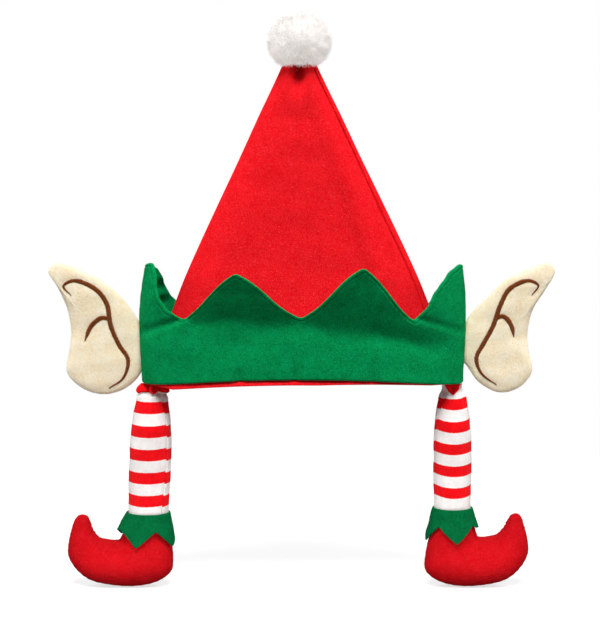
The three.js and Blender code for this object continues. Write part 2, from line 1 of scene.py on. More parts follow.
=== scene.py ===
# Elf hat: a red felt cone with a turned-up green band of six points, a fur pompom, padded ears, and two
# stuffed striped legs with green ankle collars and curled red shoes. Metres, +Z up, the front faces -Y.
import math
import bpy
import mathutils
import numpy as np
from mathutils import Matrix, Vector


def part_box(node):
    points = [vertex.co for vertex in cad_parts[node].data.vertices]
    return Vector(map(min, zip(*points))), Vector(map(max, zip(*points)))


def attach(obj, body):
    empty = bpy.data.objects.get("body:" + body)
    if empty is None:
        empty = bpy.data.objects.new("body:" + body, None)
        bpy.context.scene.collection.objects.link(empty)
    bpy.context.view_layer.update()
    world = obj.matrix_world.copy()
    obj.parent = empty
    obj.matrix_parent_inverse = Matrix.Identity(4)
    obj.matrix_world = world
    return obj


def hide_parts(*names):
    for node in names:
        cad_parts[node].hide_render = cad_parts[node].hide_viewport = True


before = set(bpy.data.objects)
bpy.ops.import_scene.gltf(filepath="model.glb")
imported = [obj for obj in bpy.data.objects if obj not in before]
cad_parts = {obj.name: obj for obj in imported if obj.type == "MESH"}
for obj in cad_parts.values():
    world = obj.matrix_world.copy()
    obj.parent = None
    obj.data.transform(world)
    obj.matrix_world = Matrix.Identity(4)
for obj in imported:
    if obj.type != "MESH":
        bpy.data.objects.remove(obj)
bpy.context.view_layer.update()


# Crown: one layer of red pressed felt, 2 mm thick, sewn into a cone along a seam on the right.
# The felt is cut, sewn and turned; the top is gathered flat and pinched in under the pompom.
crown_low, crown_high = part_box("crown")
hat_half_width = (crown_high[0] - crown_low[0]) / 2
hat_half_depth = (crown_high[1] - crown_low[1]) / 2
crown_height = crown_high[2]
crown_wall = 0.002
crown_top_lean = 0.0026
crown_top_round = 0.003
hem_bow = 0.009
seam_gap = 0.0003
hem_hang = 0.0011
hem_peep = 0.0046
hem_roll = {"out": 0.0024, "high": 0.0028}
band_lift = 0.0039

# The seam runs down the front, a little inside the right fold.
crown_seam = {"up": [0.1, 0.35, 0.55, 0.7, 0.95], "inside": [0.0074, 0.0062, 0.0062, 0.0046, 0.0042]}
seam_turn = 2 * math.pi - 0.35
seam_groove = {"deep": 0.0020, "wide": 0.0007}
seam_ridge = {"high": 0.0006, "wide": 0.0018, "beside": 0.003}
crown_unevenness = 0.0006

crown_sections = {
    "up": [0.035, 0.09, 0.16, 0.245, 0.33, 0.43, 0.56, 0.7, 0.83, 0.9, 0.96, 0.99],
    "wide": [1.0, 0.955, 0.896, 0.825, 0.755, 0.66, 0.53, 0.388, 0.26, 0.188, 0.128, 0.1],
    "deep": [1.0, 0.86, 0.72, 0.6, 0.51, 0.455, 0.41, 0.375, 0.34, 0.3, 0.26, 0.22],
}

# front is -1 for the front and 1 for the back; across is a share of the half width, up of the height,
# depth of the hat's depth, and negative for a ridge.
crown_dents = [
    {"front": -1, "across": 0.0, "up": 0.975, "wide": 1.4, "tall": 0.11, "lean": 0, "depth": -0.085},
    {"front": -1, "across": 0.02, "up": 0.962, "wide": 0.4, "tall": 0.028, "lean": 0, "depth": 0.11},
    {"front": -1, "across": -0.05, "up": 0.94, "wide": 0.3, "tall": 0.05, "lean": 0, "depth": 0.11},
    {"front": -1, "across": 0.1, "up": 0.84, "wide": 0.8, "tall": 0.055, "lean": 0, "depth": 0.022},
    {"front": 1, "across": 0.1, "up": 0.9, "wide": 0.7, "tall": 0.07, "lean": 0, "depth": 0.04},
    {"front": 1, "across": -0.3, "up": 0.55, "wide": 0.22, "tall": 0.2, "lean": -0.1, "depth": 0.026},
]
# Long soft ridges of the front, as x, z and depth of the points that each runs through.
crown_folds = [
    {"line": [(0.009, 0.266, -0.0008), (0.024, 0.225, -0.0022), (0.044, 0.173, -0.0028),
              (0.068, 0.098, -0.0026)], "wide": 0.0105},
    {"line": [(-0.046, 0.165, -0.0008), (-0.078, 0.092, -0.0020)], "wide": 0.012},
]


def bell(away, wide):
    """1 on a line and less and less away from it: every groove, ridge and fade has this profile."""
    return np.exp(-((away / wide) ** 2))


def crease_depth(creases, x, z):
    """Depth of long creases at places of the front; a ridge's depth is negative."""
    depth = 0
    for crease in creases:
        near, here = 1, 0
        for (x0, z0, deep0), (x1, z1, deep1) in zip(crease["line"], crease["line"][1:]):
            run_x, run_z = x1 - x0, z1 - z0
            along = np.clip(((x - x0) * run_x + (z - z0) * run_z) / (run_x**2 + run_z**2), 0, 1)
            away = np.hypot(x - x0 - along * run_x, z - z0 - along * run_z)
            here = np.where(away < near, deep0 + (deep1 - deep0) * along, here)
            near = np.minimum(near, away)
        depth = depth + here * bell(near, crease["wide"])
    return depth


def smooth_table(table, key, at, column):
    """Reads a column of a table of sections on a smooth curve through its rows."""
    x, y = np.array(table[key]), np.array(table[column])
    slope = np.empty_like(y)
    slope[1:-1] = (y[2:] - y[:-2]) / (x[2:] - x[:-2])
    slope[0] = (y[1] - y[0]) / (x[1] - x[0])
    slope[-1] = (y[-1] - y[-2]) / (x[-1] - x[-2])
    at = np.clip(at, x[0], x[-1])
    i = np.clip(np.searchsorted(x, at) - 1, 0, len(x) - 2)
    span = x[i + 1] - x[i]
    t = (at - x[i]) / span
    return ((2 * t**3 - 3 * t**2 + 1) * y[i] + (t**3 - 2 * t**2 + t) * slope[i] * span
            + (3 * t**2 - 2 * t**3) * y[i + 1] + (t**3 - t**2) * slope[i + 1] * span)


def dent_depth(dents, sin, across, up):
    """Depth of oval dents at places round a ring, the front where sin is negative."""
    depth = np.zeros_like(across + up)
    for dent in dents:
        leaned_up = up - dent["up"]
        leaned_across = across - dent["across"] + leaned_up * dent["lean"] / dent["tall"]
        away = (leaned_across / dent["wide"]) ** 2 + (leaned_up / dent["tall"]) ** 2
        side = np.where(dent["front"] * sin > 0, np.minimum(1, 2 * np.abs(sin)), 0)
        depth = depth + dent["depth"] * 2 * hat_half_depth * np.exp(-away) * side
    return depth


def off_corners(angle):
    """0 at the two corners of the hem, and 1 along its front and back."""
    return np.minimum(1, 3 * np.sin(angle) ** 2)


def band_bottom(angle):
    """Lower edge of the band: it bows up from the corners and hangs down a little between them."""
    return band_lift + hem_bow * np.sin(angle) ** 2 - hem_hang * off_corners(angle)


def crown_bottom(angle):
    """Lower edge of the crown: it shows below the band, and less and less towards the right."""
    shows = 1 - 0.85 * np.clip((np.cos(angle) - 0.1) / 0.8, 0, 1)
    return band_bottom(angle) - hem_peep * off_corners(angle) * shows


def hand_of_cloth(x, z, size):
    """The slight unevenness that every hand-sewn cloth has: a few crossing waves, from -1 to 1."""
    x, z = x / size, z / size
    return (np.sin(2.1 * x + 1.3 * z + 0.5) + np.sin(-1.2 * x + 2.6 * z + 1.9)
            + np.sin(3.7 * x - 0.9 * z + 4.1) + np.sin(0.6 * x + 4.4 * z + 2.7)) / 4


def turn_between(angle, start):
    """The angle from a start, as a turn of at most half a round either way."""
    return (angle - start + math.pi) % (2 * math.pi) - math.pi


def crown_points(angle, z, inset, detail=1.0):
    """Places on the crown, inset from its outer face; detail is the share of the small folds that shows."""
    up = np.clip(z / crown_height, 0, 1)
    a = smooth_table(crown_sections, "up", up, "wide") * hat_half_width
    b = smooth_table(crown_sections, "up", up, "deep") * hat_half_depth
    # Above the band the front and back of the felt lie flatter and meet in a sharper fold.
    flat = np.clip((z - 0.03) / 0.09, 0, 1)
    power = 2 - 0.45 * flat * flat * (3 - 2 * flat)
    # The columns near the seam follow it, so that its groove stays sharp all the way.
    across = 1 - np.interp(up, crown_seam["up"], crown_seam["inside"]) / a
    seam_at = -np.arctan2((1 - across**power) ** (1 / power), across)
    angle = angle + (seam_at - seam_turn + 2 * math.pi) * bell(turn_between(angle, seam_turn), 0.5)
    from_seam = turn_between(angle, seam_at) * np.hypot(a * np.sin(seam_at), b * np.cos(seam_at))
    groove = seam_groove["deep"] * bell(from_seam, seam_groove["wide"])
    ridge = seam_ridge["high"] * bell(from_seam - seam_ridge["beside"], seam_ridge["wide"])
    cos, sin = np.cos(angle), np.sin(angle)
    round_off = (np.abs(cos) ** power + np.abs(sin) ** power) ** (-1 / power)
    cos, sin = cos * round_off, sin * round_off
    dent = dent_depth(crown_dents, sin, cos, up) * np.abs(sin)
    fold = crease_depth(crown_folds, a * cos, z) * (sin < 0)
    wave = crown_unevenness * detail * hand_of_cloth(a * cos, z + np.sign(sin) * 0.3, 0.022)
    x = -crown_top_lean * up + (a - inset) * cos
    y = (b - dent - inset - wave) * sin + detail * (groove - ridge + fold)
    return np.stack([x, y, z + 0 * angle], -1)


def new_object(name, data):
    """Adds an object for a mesh, light or camera to the scene."""
    added = bpy.data.objects.new(name, data)
    bpy.context.scene.collection.objects.link(added)
    return added


def mesh_piece(name, points, faces, material, smooth=True):
    """A piece from lists of points and faces, in one material."""
    mesh = bpy.data.meshes.new(name)
    mesh.from_pydata(points.tolist(), [], faces)
    mesh.polygons.foreach_set("use_smooth", [smooth] * len(mesh.polygons))
    mesh.materials.append(material)
    return new_object(name, mesh)


def grid_mesh(name, rings, material, loop=False):
    """Joins rings of points, all with as many columns, into one closed skin that faces out."""
    rings = np.asarray(rings, dtype=float)
    rows, columns = rings.shape[:2]
    points = rings.reshape(-1, 3)
    index = np.arange(rows * columns).reshape(rows, columns)
    here, there = (index, np.roll(index, -1, 0)) if loop else (index[:-1], index[1:])
    faces = np.stack([here, np.roll(here, -1, 1), np.roll(there, -1, 1), there], -1).reshape(-1, 4).tolist()
    if not loop:
        points = np.vstack([points, rings[0].mean(0), rings[-1].mean(0)])
        middle = np.full(columns, rows * columns)
        faces += np.stack([np.roll(index[0], -1), index[0], middle], -1).tolist()
        faces += np.stack([index[-1], np.roll(index[-1], -1), middle + 1], -1).tolist()
    # The sign of the volume, from a sample of the faces, tells which way they face.
    sample = [points[face[:3]] for face in faces[:: max(1, len(faces) // 4000)]]
    if sum(np.dot(a, np.cross(b, c)) for a, b, c in sample) < 0:
        faces = [face[::-1] for face in faces]
    piece = mesh_piece(name, points, faces, material)
    piece.data.validate()
    return piece


def linear(hex_colour):
    """An sRGB hex colour as the linear numbers that a shader takes."""
    parts = [int(hex_colour[i:i + 2], 16) / 255 for i in (0, 2, 4)]
    return [p / 12.92 if p <= 0.04045 else ((p + 0.055) / 1.055) ** 2.4 for p in parts] + [1.0]


def add_node(tree, kind, inputs=(), **settings):
    """Adds a shader node with its settings; an input is a value, or a link from another node's socket."""
    node = tree.nodes.new(kind)
    for name, value in settings.items():
        setattr(node, name, value)
    for name, value in dict(inputs).items():
        if isinstance(value, bpy.types.NodeSocket):
            tree.links.new(value, node.inputs[name])
        else:
            node.inputs[name].default_value = value
    return node


def new_material(name):
    """An empty node material and its tree."""
    material = bpy.data.materials.new(name)
    material.use_nodes = True
    material.node_tree.nodes.clear()
    return material, material.node_tree


def finish_material(tree, shader):
    """Joins a shader to the material's output."""
    add_node(tree, "ShaderNodeOutputMaterial", {"Surface": shader.outputs["BSDF"]})


def pressed_felt(name, colour, pale, deep, fleck, blotch_mm=9.0):
    """Pressed wool-like felt: matted fibres give a soft mottle and pale flecks, with no shine."""
    material, tree = new_material(name)
    place = add_node(tree, "ShaderNodeTexCoord").outputs["Object"]
    noise = {}
    for part, size_mm, detail, roughness, distortion in (
            ("fibre", 1.5, 4.0, 0.6, 1.5), ("matted", 3.6, 4.0, 0.65, 2.0),
            ("blotch", blotch_mm, 3.0, 0.55, 0.0), ("fleck", 1.7, 2.0, 0.5, 5.0)):
        noise[part] = add_node(tree, "ShaderNodeTexNoise", {
            "Vector": place, "Scale": 1000 / size_mm, "Detail": detail, "Roughness": roughness,
            "Distortion": distortion}).outputs["Fac"]
    cloud = add_node(tree, "ShaderNodeMath", {0: noise["matted"], 1: noise["blotch"]}, operation="ADD")
    # Three colours over the deep one: where each noise is high, up to a share of that colour.
    mixed = linear(deep)
    for over, value, low, high, share in (
            (colour, noise["fibre"], 0.36, 0.64, 1.0), (pale, cloud.outputs["Value"], 0.85, 1.35, 0.6),
            (fleck, noise["fleck"], 0.54, 0.7, 0.7)):
        factor = add_node(tree, "ShaderNodeMapRange", {
            "Value": value, "From Min": low, "From Max": high, "To Max": share}, clamp=True)
        mixed = add_node(tree, "ShaderNodeMix", {
            "Factor": factor.outputs["Result"], 6: mixed, 7: linear(over)}, data_type="RGBA").outputs[2]
    height = add_node(tree, "ShaderNodeMath", {0: noise["matted"], 1: noise["fibre"]}, operation="ADD")
    bump = add_node(tree, "ShaderNodeBump", {
        "Height": height.outputs["Value"], "Strength": 0.6, "Distance": 0.0007})
    shader = add_node(tree, "ShaderNodeBsdfPrincipled", {
        "Base Color": mixed, "Roughness": 0.95, "Specular IOR Level": 0.03,
        "Sheen Weight": 0.03, "Sheen Roughness": 0.6, "Sheen Tint": linear(pale),
        "Normal": bump.outputs["Normal"]})
    finish_material(tree, shader)
    return material


red_felt = pressed_felt("red_pressed_felt", "e60d17", "f01822", "d4040e", fleck="fa525a")


def sampled_surface(piece, count, seed, above):
    """Seeded random places on a mesh above a height, as points with their outward normals."""
    mesh = piece.data
    mesh.calc_loop_triangles()
    corners = np.empty(len(mesh.loop_triangles) * 3, dtype=np.int64)
    mesh.loop_triangles.foreach_get("vertices", corners)
    places = np.empty(len(mesh.vertices) * 3)
    mesh.vertices.foreach_get("co", places)
    triangles = places.reshape(-1, 3)[corners.reshape(-1, 3)]
    normals = np.cross(triangles[:, 1] - triangles[:, 0], triangles[:, 2] - triangles[:, 0])
    areas = np.linalg.norm(normals, axis=1) * (triangles.mean(1)[:, 2] > above)
    draw = np.random.default_rng(seed)
    chosen = draw.choice(len(areas), count, p=areas / areas.sum())
    u, v = draw.random((2, count, 1))
    flip = (u + v) > 1
    u, v = np.where(flip, 1 - u, u), np.where(flip, 1 - v, v)
    t = triangles[chosen]
    points = t[:, 0] + u * (t[:, 1] - t[:, 0]) + v * (t[:, 2] - t[:, 0])
    out = normals[chosen]
    return points, out / np.linalg.norm(out, axis=1, keepdims=True)


def blades(name, rows, material):
    """Thin pointed blades in one mesh, from rows of their left and right edges by turns, then the tips."""
    each = len(rows)
    start = np.arange(len(rows[0]))[:, None] * each
    faces = []
    for i in range(0, each - 3, 2):
        faces += np.hstack([start + i, start + i + 1, start + i + 3, start + i + 2]).tolist()
    faces += np.hstack([start + each - 3, start + each - 2, start + each - 1]).tolist()
    piece = mesh_piece(name, np.stack(rows, 1).reshape(-1, 3), faces, material, smooth=False)
    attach(piece, "root")
    return piece


def felt_fuzz(name, piece, count, seeds, length, width, material, above=-1.0):
    """Loose fibres of a felt face as short bent blades: each leans off its normal at random."""
    points, normals = sampled_surface(piece, count, seeds[0], above)
    draw = np.random.default_rng(seeds[1])
    aim = normals + 0.9 * draw.normal(size=(count, 3))
    aim /= np.linalg.norm(aim, axis=1, keepdims=True)
    curl = draw.normal(size=(count, 3)) * 0.5
    side = np.cross(aim, draw.normal(size=(count, 3)))
    side /= np.linalg.norm(side, axis=1, keepdims=True)
    long = length * draw.uniform(0.55, 1.0, (count, 1))
    rows = []
    for t in (0, 0.5):
        middle = points + aim * long * t + curl * long * t * t * 0.5
        half = width / 2 * (1 - 0.6 * t)
        rows += [middle - side * half, middle + side * half]
    rows.append(points + aim * long + curl * long * 0.5)
    return blades(name, rows, material)


plain_angles = np.linspace(0, 2 * math.pi, 224, endpoint=False)
seam_angles = seam_turn + np.linspace(-0.09, 0.09, 33)
crown_angles = np.sort(np.concatenate([plain_angles[np.abs(plain_angles - seam_turn) > 0.1], seam_angles]))


def crown_ring(z, inset, detail=1.0):
    """A level ring of the crown."""
    return crown_points(crown_angles, z + 0 * crown_angles, inset, detail)


def crown_hem_ring(rise, inset):
    """A ring of the hem: what shows below the band rolls out a little under the band's edge."""
    bottom = crown_bottom(crown_angles)
    shown = np.clip((band_bottom(crown_angles) - bottom) / hem_peep, 0, 1)
    rolled = hem_roll["out"] * shown * bell(rise, hem_roll["high"])
    return crown_points(crown_angles, bottom + rise, inset - rolled)


# From the top down the outer face, round the hem and up the inside.
crown_rings = [crown_ring(crown_height, crown_top_round * 1.4)]
for t in (0.5, 0.9, 1.3):
    crown_rings.append(crown_ring(crown_height - crown_top_round * (1 - math.cos(t)),
                                  crown_top_round * (1 - math.sin(t))))
hem_height = 0.018
outer_heights = np.linspace(hem_height, crown_height - crown_top_round, 150)
inner_heights = np.linspace(hem_height, crown_height * 0.96, 50)
crown_rings += [crown_ring(z, 0) for z in outer_heights[::-1]]
crown_rings += [crown_hem_ring(rise, 0) for rise in (0.005, 0.003)]
for t in np.linspace(0, math.pi, 7):
    crown_rings.append(crown_hem_ring(crown_wall / 2 * (1 - math.sin(t)), crown_wall / 2 * (1 - math.cos(t))))
crown_rings += [crown_hem_ring(rise, crown_wall) for rise in (0.003, 0.005)]
crown_rings += [crown_ring(z, crown_wall, 0.4) for z in inner_heights]
crown = grid_mesh("crown_felt", crown_rings, red_felt)
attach(crown, "root")
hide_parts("crown")

crown_fuzz = felt_fuzz("crown_fuzz", crown, 15000, (11, 12), 0.0021, 0.00011, red_felt, above=0.02)


# Band: green pressed felt, two layers sewn face to face along the zigzag edge and turned, 3 mm thick.
# It is sewn to the crown along the hem, so it stands free above, and its points flare out.
band_wall = 0.003
band_height = 0.104
band_valley = 0.056
band_belly = 0.0034
band_waist = 0.003
band_flare = 0.024
band_half_width = hat_half_width + seam_gap + band_wall
band_half_depth = hat_half_depth + seam_gap + band_wall

band_points = {
    "place": [-0.020, -0.006, 0.006, 0.087, 0.163, 0.25, 0.336, 0.413, 0.445, 0.459, 0.469, 0.480, 0.495,
              0.513, 0.522, 0.532, 0.546, 0.560, 0.582, 0.6572, 0.7475, 0.8342, 0.9051, 0.923, 0.942, 0.961],
    "rise": [0.92, 1.02, 0.97, 0.0, 0.86, -0.1, 0.9, 0.0, 0.36, 0.60, 0.77, 0.93, 1.0,
             1.05, 0.88, 0.56, 0.33, 0.17, -0.015, 0.8, -0.06, 0.9, -0.03, 0.2, 0.53, 0.72],
}
band_dents = [
    {"front": -1, "across": -0.45, "up": 0.3, "wide": 0.16, "tall": 0.16, "lean": 0, "depth": 0.018},
    {"front": 1, "across": -0.8, "up": 0.5, "wide": 0.2, "tall": 0.06, "lean": 0.2, "depth": 0.05},
    {"front": 1, "across": 0.5, "up": 0.45, "wide": 0.25, "tall": 0.08, "lean": -0.1, "depth": 0.04},
]
# Creases of the front that run from the valleys to the side folds.
band_creases = [
    {"line": [(-0.099, 0.064, 0.0032), (-0.139, 0.049, 0.0032)], "wide": 0.0035},
    {"line": [(0.092, 0.066, 0.0024), (0.136, 0.051, 0.0024)], "wide": 0.0032},
    {"line": [(0.060, 0.052, 0.0022), (0.112, 0.036, 0.0022)], "wide": 0.009},
    {"line": [(-0.09, 0.058, 0.0010), (-0.055, 0.066, 0.0010)], "wide": 0.005},
]
# Puckers along the hem seam, where the thread draws the felt in: the x of those seen in front and their
# depth. The back has the same ones.
hem_puckers = {"x": [-0.112, -0.086, -0.054, -0.031, -0.007, 0.022, 0.06, 0.083, 0.108],
               "deep": [0.0006, 0.0005, 0.0013, 0.0005, 0.0015, 0.0006, 0.0012, 0.0005, 0.0007]}

round_angles = np.linspace(0, 2 * math.pi, 2881)
round_steps = np.hypot(np.diff(band_half_width * np.cos(round_angles)),
                       np.diff(band_half_depth * np.sin(round_angles)))
round_places = np.concatenate([[0], np.cumsum(round_steps)])
band_round = round_places[-1]
round_places /= band_round


def edge_rise():
    """Height of the zigzag edge at each column, from 0 in the valleys to 1 at the tips, with soft corners."""
    place = np.array(band_points["place"] + [band_points["place"][0] + 1])
    rise = np.array(band_points["rise"] + [band_points["rise"][0]])
    at = (band_places - place[0]) % 1 + place[0]
    i = np.clip(np.searchsorted(place, at, side="right") - 1, 0, len(place) - 2)
    t = (at - place[i]) / (place[i + 1] - place[i])
    sharp = rise[i] + (rise[i + 1] - rise[i]) * (t - 0.05 * np.sin(2 * math.pi * t))
    corner = 0.0016 / band_round * len(band_places)
    reach = np.arange(-12, 13)
    weights = np.exp(-(reach / corner) ** 2 / 2)
    return sum(w * np.roll(sharp, k) for k, w in zip(reach, weights)) / weights.sum()


band_columns = 640
band_places = np.arange(band_columns) / band_columns
band_angles = np.interp(band_places, round_places, round_angles)
band_edge = band_valley + (band_height - band_valley) * edge_rise()
angle_from_tip = np.abs(math.pi - band_angles) * (band_angles < math.pi)
edge_slope = (np.roll(band_edge, -1) - np.roll(band_edge, 1)) / (2 * band_round / band_columns)
edge_secant = np.sqrt(1 + np.minimum(np.abs(edge_slope), 1.6) ** 2)


def band_points_at(height, inset):
    """A ring of the band at a height of each column above the band's lower edge."""
    sin, cos = np.sin(band_angles), np.cos(band_angles)
    z = band_bottom(band_angles) + height
    up = (z - band_lift) / band_height
    # The fold that the points lean out from runs level on the left and drops towards the right side.
    fold_up = band_valley / band_height - 0.21 * np.clip(cos * 1.1, 0, 1) * (sin < 0)
    belly = band_belly * np.sin(math.pi * np.clip(up * 0.95, 0, 1))
    waist = band_waist * bell(up - fold_up, 0.2)
    above = (up - fold_up) / (1 - fold_up)
    flare = band_flare * np.minimum(1.1, 0.05 * np.log1p(np.exp(np.clip(above / 0.05, -30, 30))))
    corner = np.maximum(0, (np.abs(cos) - 0.97) / 0.03) ** 2 * np.exp(-height / 0.004)
    z = z + 0.0012 * corner
    folded_in = 0.0028 * np.maximum(0, above) ** 2 * np.maximum(0, -cos) ** 8
    # The side points are folded sharper than the rest of the band is round.
    power = 2 - 0.45 * np.clip(above, 0, 1) * np.clip((np.abs(cos) - 0.75) / 0.2, 0, 1)
    round_off = (np.abs(cos) ** power + np.abs(sin) ** power) ** (-1 / power)
    dent = dent_depth(band_dents, sin, cos, up)
    wave = 0.0008 * hand_of_cloth(band_half_width * cos, z + np.sign(sin) * 0.4, 0.017)
    pucker = 0
    for x, deep in zip(hem_puckers["x"], hem_puckers["deep"]):
        beside = bell(band_half_width * cos - x, 0.0042)
        pucker = pucker + 1.2 * deep * beside * bell(height - 0.003, 0.008)
    crease = crease_depth(band_creases, band_half_width * cos, z) * (sin < 0)
    folds = np.sin(z / 0.0019 + 7 * angle_from_tip) + 0.9 * np.sin(z / 0.0033 - 10 * angle_from_tip)
    crumple = 0.0012 * folds * (cos < 0) * bell(angle_from_tip - 0.34, 0.22) * np.clip(above * 3, 0, 1)
    a = band_half_width + belly - inset - (wave + crease) * 0.5 - folded_in - crumple
    b = band_half_depth + flare - waist - dent - inset - (wave + pucker + crease) - crumple
    a = a + 0.0017 * np.exp(-height / 0.012) * cos**8
    # The back halves of the side points lean in towards the front halves.
    lean_in = np.where(cos < 0, 0.75, 0.5) * np.clip((np.abs(cos) - 0.72) / 0.2, 0, 1)
    leaning = 1 - lean_in * np.clip(above, 0, 1) * (sin > 0)
    return np.stack([a * cos * round_off, b * sin * round_off * leaning, z], -1)


# Profile of the turned edge in mm, from the outer face over the top: a sewn groove about 3 mm below the edge,
# and above it the roll of the turned felt.
edge_profile = {"below": [5.6, 4.3, 3.75, 3.4, 3.2, 3.0, 2.5, 1.7, 0.9, 0.3, 0.0, 0.1, 0.6, 1.6],
                "inset": [0.0, -0.05, 0.05, 0.25, 0.45, 0.4, 0.1, -0.05, 0.1, 0.6, 1.3, 2.1, 2.75, 3.0]}
band_rings = []
lower_round = np.linspace(-math.pi / 2, math.pi / 2, 7)
for t in lower_round:
    band_rings.append(band_points_at(band_wall / 2 * (1 - math.cos(t)), band_wall / 2 * (1 - math.sin(t))))
for share in np.linspace(0.03, 1, 46):
    top = band_edge - edge_profile["below"][0] / 1000 * edge_secant
    band_rings.append(band_points_at(band_wall / 2 + (top - band_wall / 2) * share, 0))
for below, inset in zip(edge_profile["below"][1:], edge_profile["inset"][1:]):
    band_rings.append(band_points_at(band_edge - below / 1000 * edge_secant, inset / 1000))
for share in np.linspace(1, 0.03, 26):
    top = band_edge - 0.003 * edge_secant
    band_rings.append(band_points_at(band_wall / 2 + (top - band_wall / 2) * share, band_wall))
green_felt = pressed_felt("green_pressed_felt", "008745", "009653", "005e2d", fleck="1cc07c")
band = grid_mesh("band_felt", band_rings, green_felt, loop=True)
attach(band, "root")
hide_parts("band")

band_fuzz = felt_fuzz("band_fuzz", band, 12000, (21, 22), 0.0013, 0.00011, green_felt)


# Pompom: white fur fabric drawn into a ball over a stuffed core and sewn over the top of the crown.
# Its pile is short, soft and dense, and clumps a little into locks.
pompom_radius = 0.029
pompom_squash = 52 / 58
pompom_middle = np.array([-crown_top_lean, 0, crown_height - 0.012 + 0.026])
pile_length = 0.0085
strand_count = 26000
lock_count = 620
backing_radius = pompom_radius - pile_length * 0.55


def white_pile(name, colour, shade):
    """Acrylic fur pile: matt and white, and half of the light goes through each strand.

    The glow is painted light: it stands for the light that goes on from strand to strand inside the pile, and
    with the strands' greyer colour it evens out the shading over the ball."""
    material, tree = new_material(name)
    tone = add_node(tree, "ShaderNodeAttribute", attribute_name="tone")
    mixed = add_node(tree, "ShaderNodeMix", {
        "Factor": tone.outputs["Fac"], 6: linear(shade), 7: linear(colour)}, data_type="RGBA")
    # Painted light: the surface glows in the strand's own colour, though the fur gives off no light.
    surface = add_node(tree, "ShaderNodeBsdfPrincipled", {
        "Base Color": mixed.outputs[2], "Roughness": 0.9, "Specular IOR Level": 0.1,
        "Emission Color": mixed.outputs[2], "Emission Strength": 1.1})
    through = add_node(tree, "ShaderNodeBsdfTranslucent", {"Color": mixed.outputs[2]})
    both = add_node(tree, "ShaderNodeMixShader", {
        "Fac": 0.5, 1: surface.outputs["BSDF"], 2: through.outputs["BSDF"]})
    add_node(tree, "ShaderNodeOutputMaterial", {"Surface": both.outputs["Shader"]})
    return material


def pile_backing(name, colour):
    """The fur's knitted backing over the stuffing: white, and light spreads inside it."""
    material, tree = new_material(name)
    shader = add_node(tree, "ShaderNodeBsdfPrincipled", {
        "Base Color": linear(colour), "Roughness": 0.9, "Specular IOR Level": 0.1,
        "Subsurface Weight": 1.0, "Subsurface Radius": (1.0, 1.0, 1.0), "Subsurface Scale": 0.01})
    finish_material(tree, shader)
    return material


def even_directions(count):
    """Directions spread evenly over a ball, along a spiral."""
    i = np.arange(count)
    up = 1 - (2 * i + 1) / count
    turn = i * math.pi * (3 - math.sqrt(5))
    flat = np.sqrt(1 - up**2)
    return np.stack([flat * np.cos(turn), flat * np.sin(turn), up], -1)


# The strands' colours are greyer than the white fur. The painted glow brings them up to white and evens out
# their shading.
pile_fur_painted_glow = white_pile("white_acrylic_pile_painted_glow", "dad8d6", "b8b5b2")
backing = pile_backing("white_pile_backing", "f6f4f2")
draw = np.random.default_rng(31)
ball_turns = np.linspace(0, 2 * math.pi, 120, endpoint=False)
ball_rings = []
for rise in np.linspace(0.03, math.pi - 0.03, 60):
    lumps = backing_radius * (1 + 0.012 * np.sin(9 * ball_turns + 7 * rise) * np.sin(8 * rise)
                              + 0.008 * np.sin(23 * ball_turns - 11 * rise) * np.sin(19 * rise + 1))
    ball_rings.append(pompom_middle + np.stack([
        lumps * math.sin(rise) * np.cos(ball_turns), lumps * math.sin(rise) * np.sin(ball_turns),
        lumps * math.cos(rise) * pompom_squash], -1))
pompom = grid_mesh("pompom_backing", ball_rings, backing)
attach(pompom, "root")

locks = even_directions(lock_count) + draw.normal(size=(lock_count, 3)) * 0.03
locks /= np.linalg.norm(locks, axis=1, keepdims=True)
roots = even_directions(strand_count) + draw.normal(size=(strand_count, 3)) * 0.02
roots /= np.linalg.norm(roots, axis=1, keepdims=True)
# The pile is sewn down underneath, and only a few hairs hang over the crown there.
roots = roots[(roots[:, 2] > -0.86) | (draw.random(len(roots)) < 0.012)]
nearest = np.concatenate([np.argmax(part @ locks.T, 1) for part in np.array_split(roots, 20)])
lock_reach = 1 + draw.normal(size=lock_count) * 0.02
tips = roots * 0.7 + locks[nearest] * 0.3 + draw.normal(size=roots.shape) * 0.06
tips /= np.linalg.norm(tips, axis=1, keepdims=True)
stray = draw.random(len(roots)) < 0.02
tip_reach = lock_reach[nearest] * (1 - np.abs(draw.normal(size=len(roots))) * 0.05) + 0.06 * stray
squashed = np.array([1, 1, pompom_squash])
strand_root = pompom_middle + roots * (backing_radius - 0.001) * squashed
strand_tip = pompom_middle + tips * pompom_radius * tip_reach[:, None] * squashed
side = np.cross(strand_tip - strand_root, draw.normal(size=roots.shape))
side /= np.linalg.norm(side, axis=1, keepdims=True)
bend = draw.normal(size=roots.shape) * 0.0007
strand_rows = []
for share, half in ((0.0, 0.00012), (0.4, 0.00011), (0.75, 0.00007)):
    middle = strand_root + (strand_tip - strand_root) * share + bend * math.sin(math.pi * share)
    strand_rows += [middle - side * half, middle + side * half]
strand_rows.append(strand_tip)
pile = blades("pompom_pile", strand_rows, pile_fur_painted_glow)
strand_tone = 0.45 * draw.random(len(roots)) + 0.55 * draw.random(lock_count)[nearest]
pile_tone = pile.data.attributes.new("tone", "FLOAT", "POINT")
pile_tone.data.foreach_set("value", np.repeat(strand_tone, len(strand_rows)))
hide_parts("pompom")


# Ears: flat pads of cream pressed felt, two layers sewn together round the edge, turned and stuffed.
# They are sewn into the side folds of the band, a little behind its middle.
ear_length = 0.081
ear_height = 0.1166
ear_thickness = 0.011
ear_lift = -0.007
ear_set_back = 0.005
ear_spokes = 208
ear_groove = 0.0005
ear_cup = 0.0018

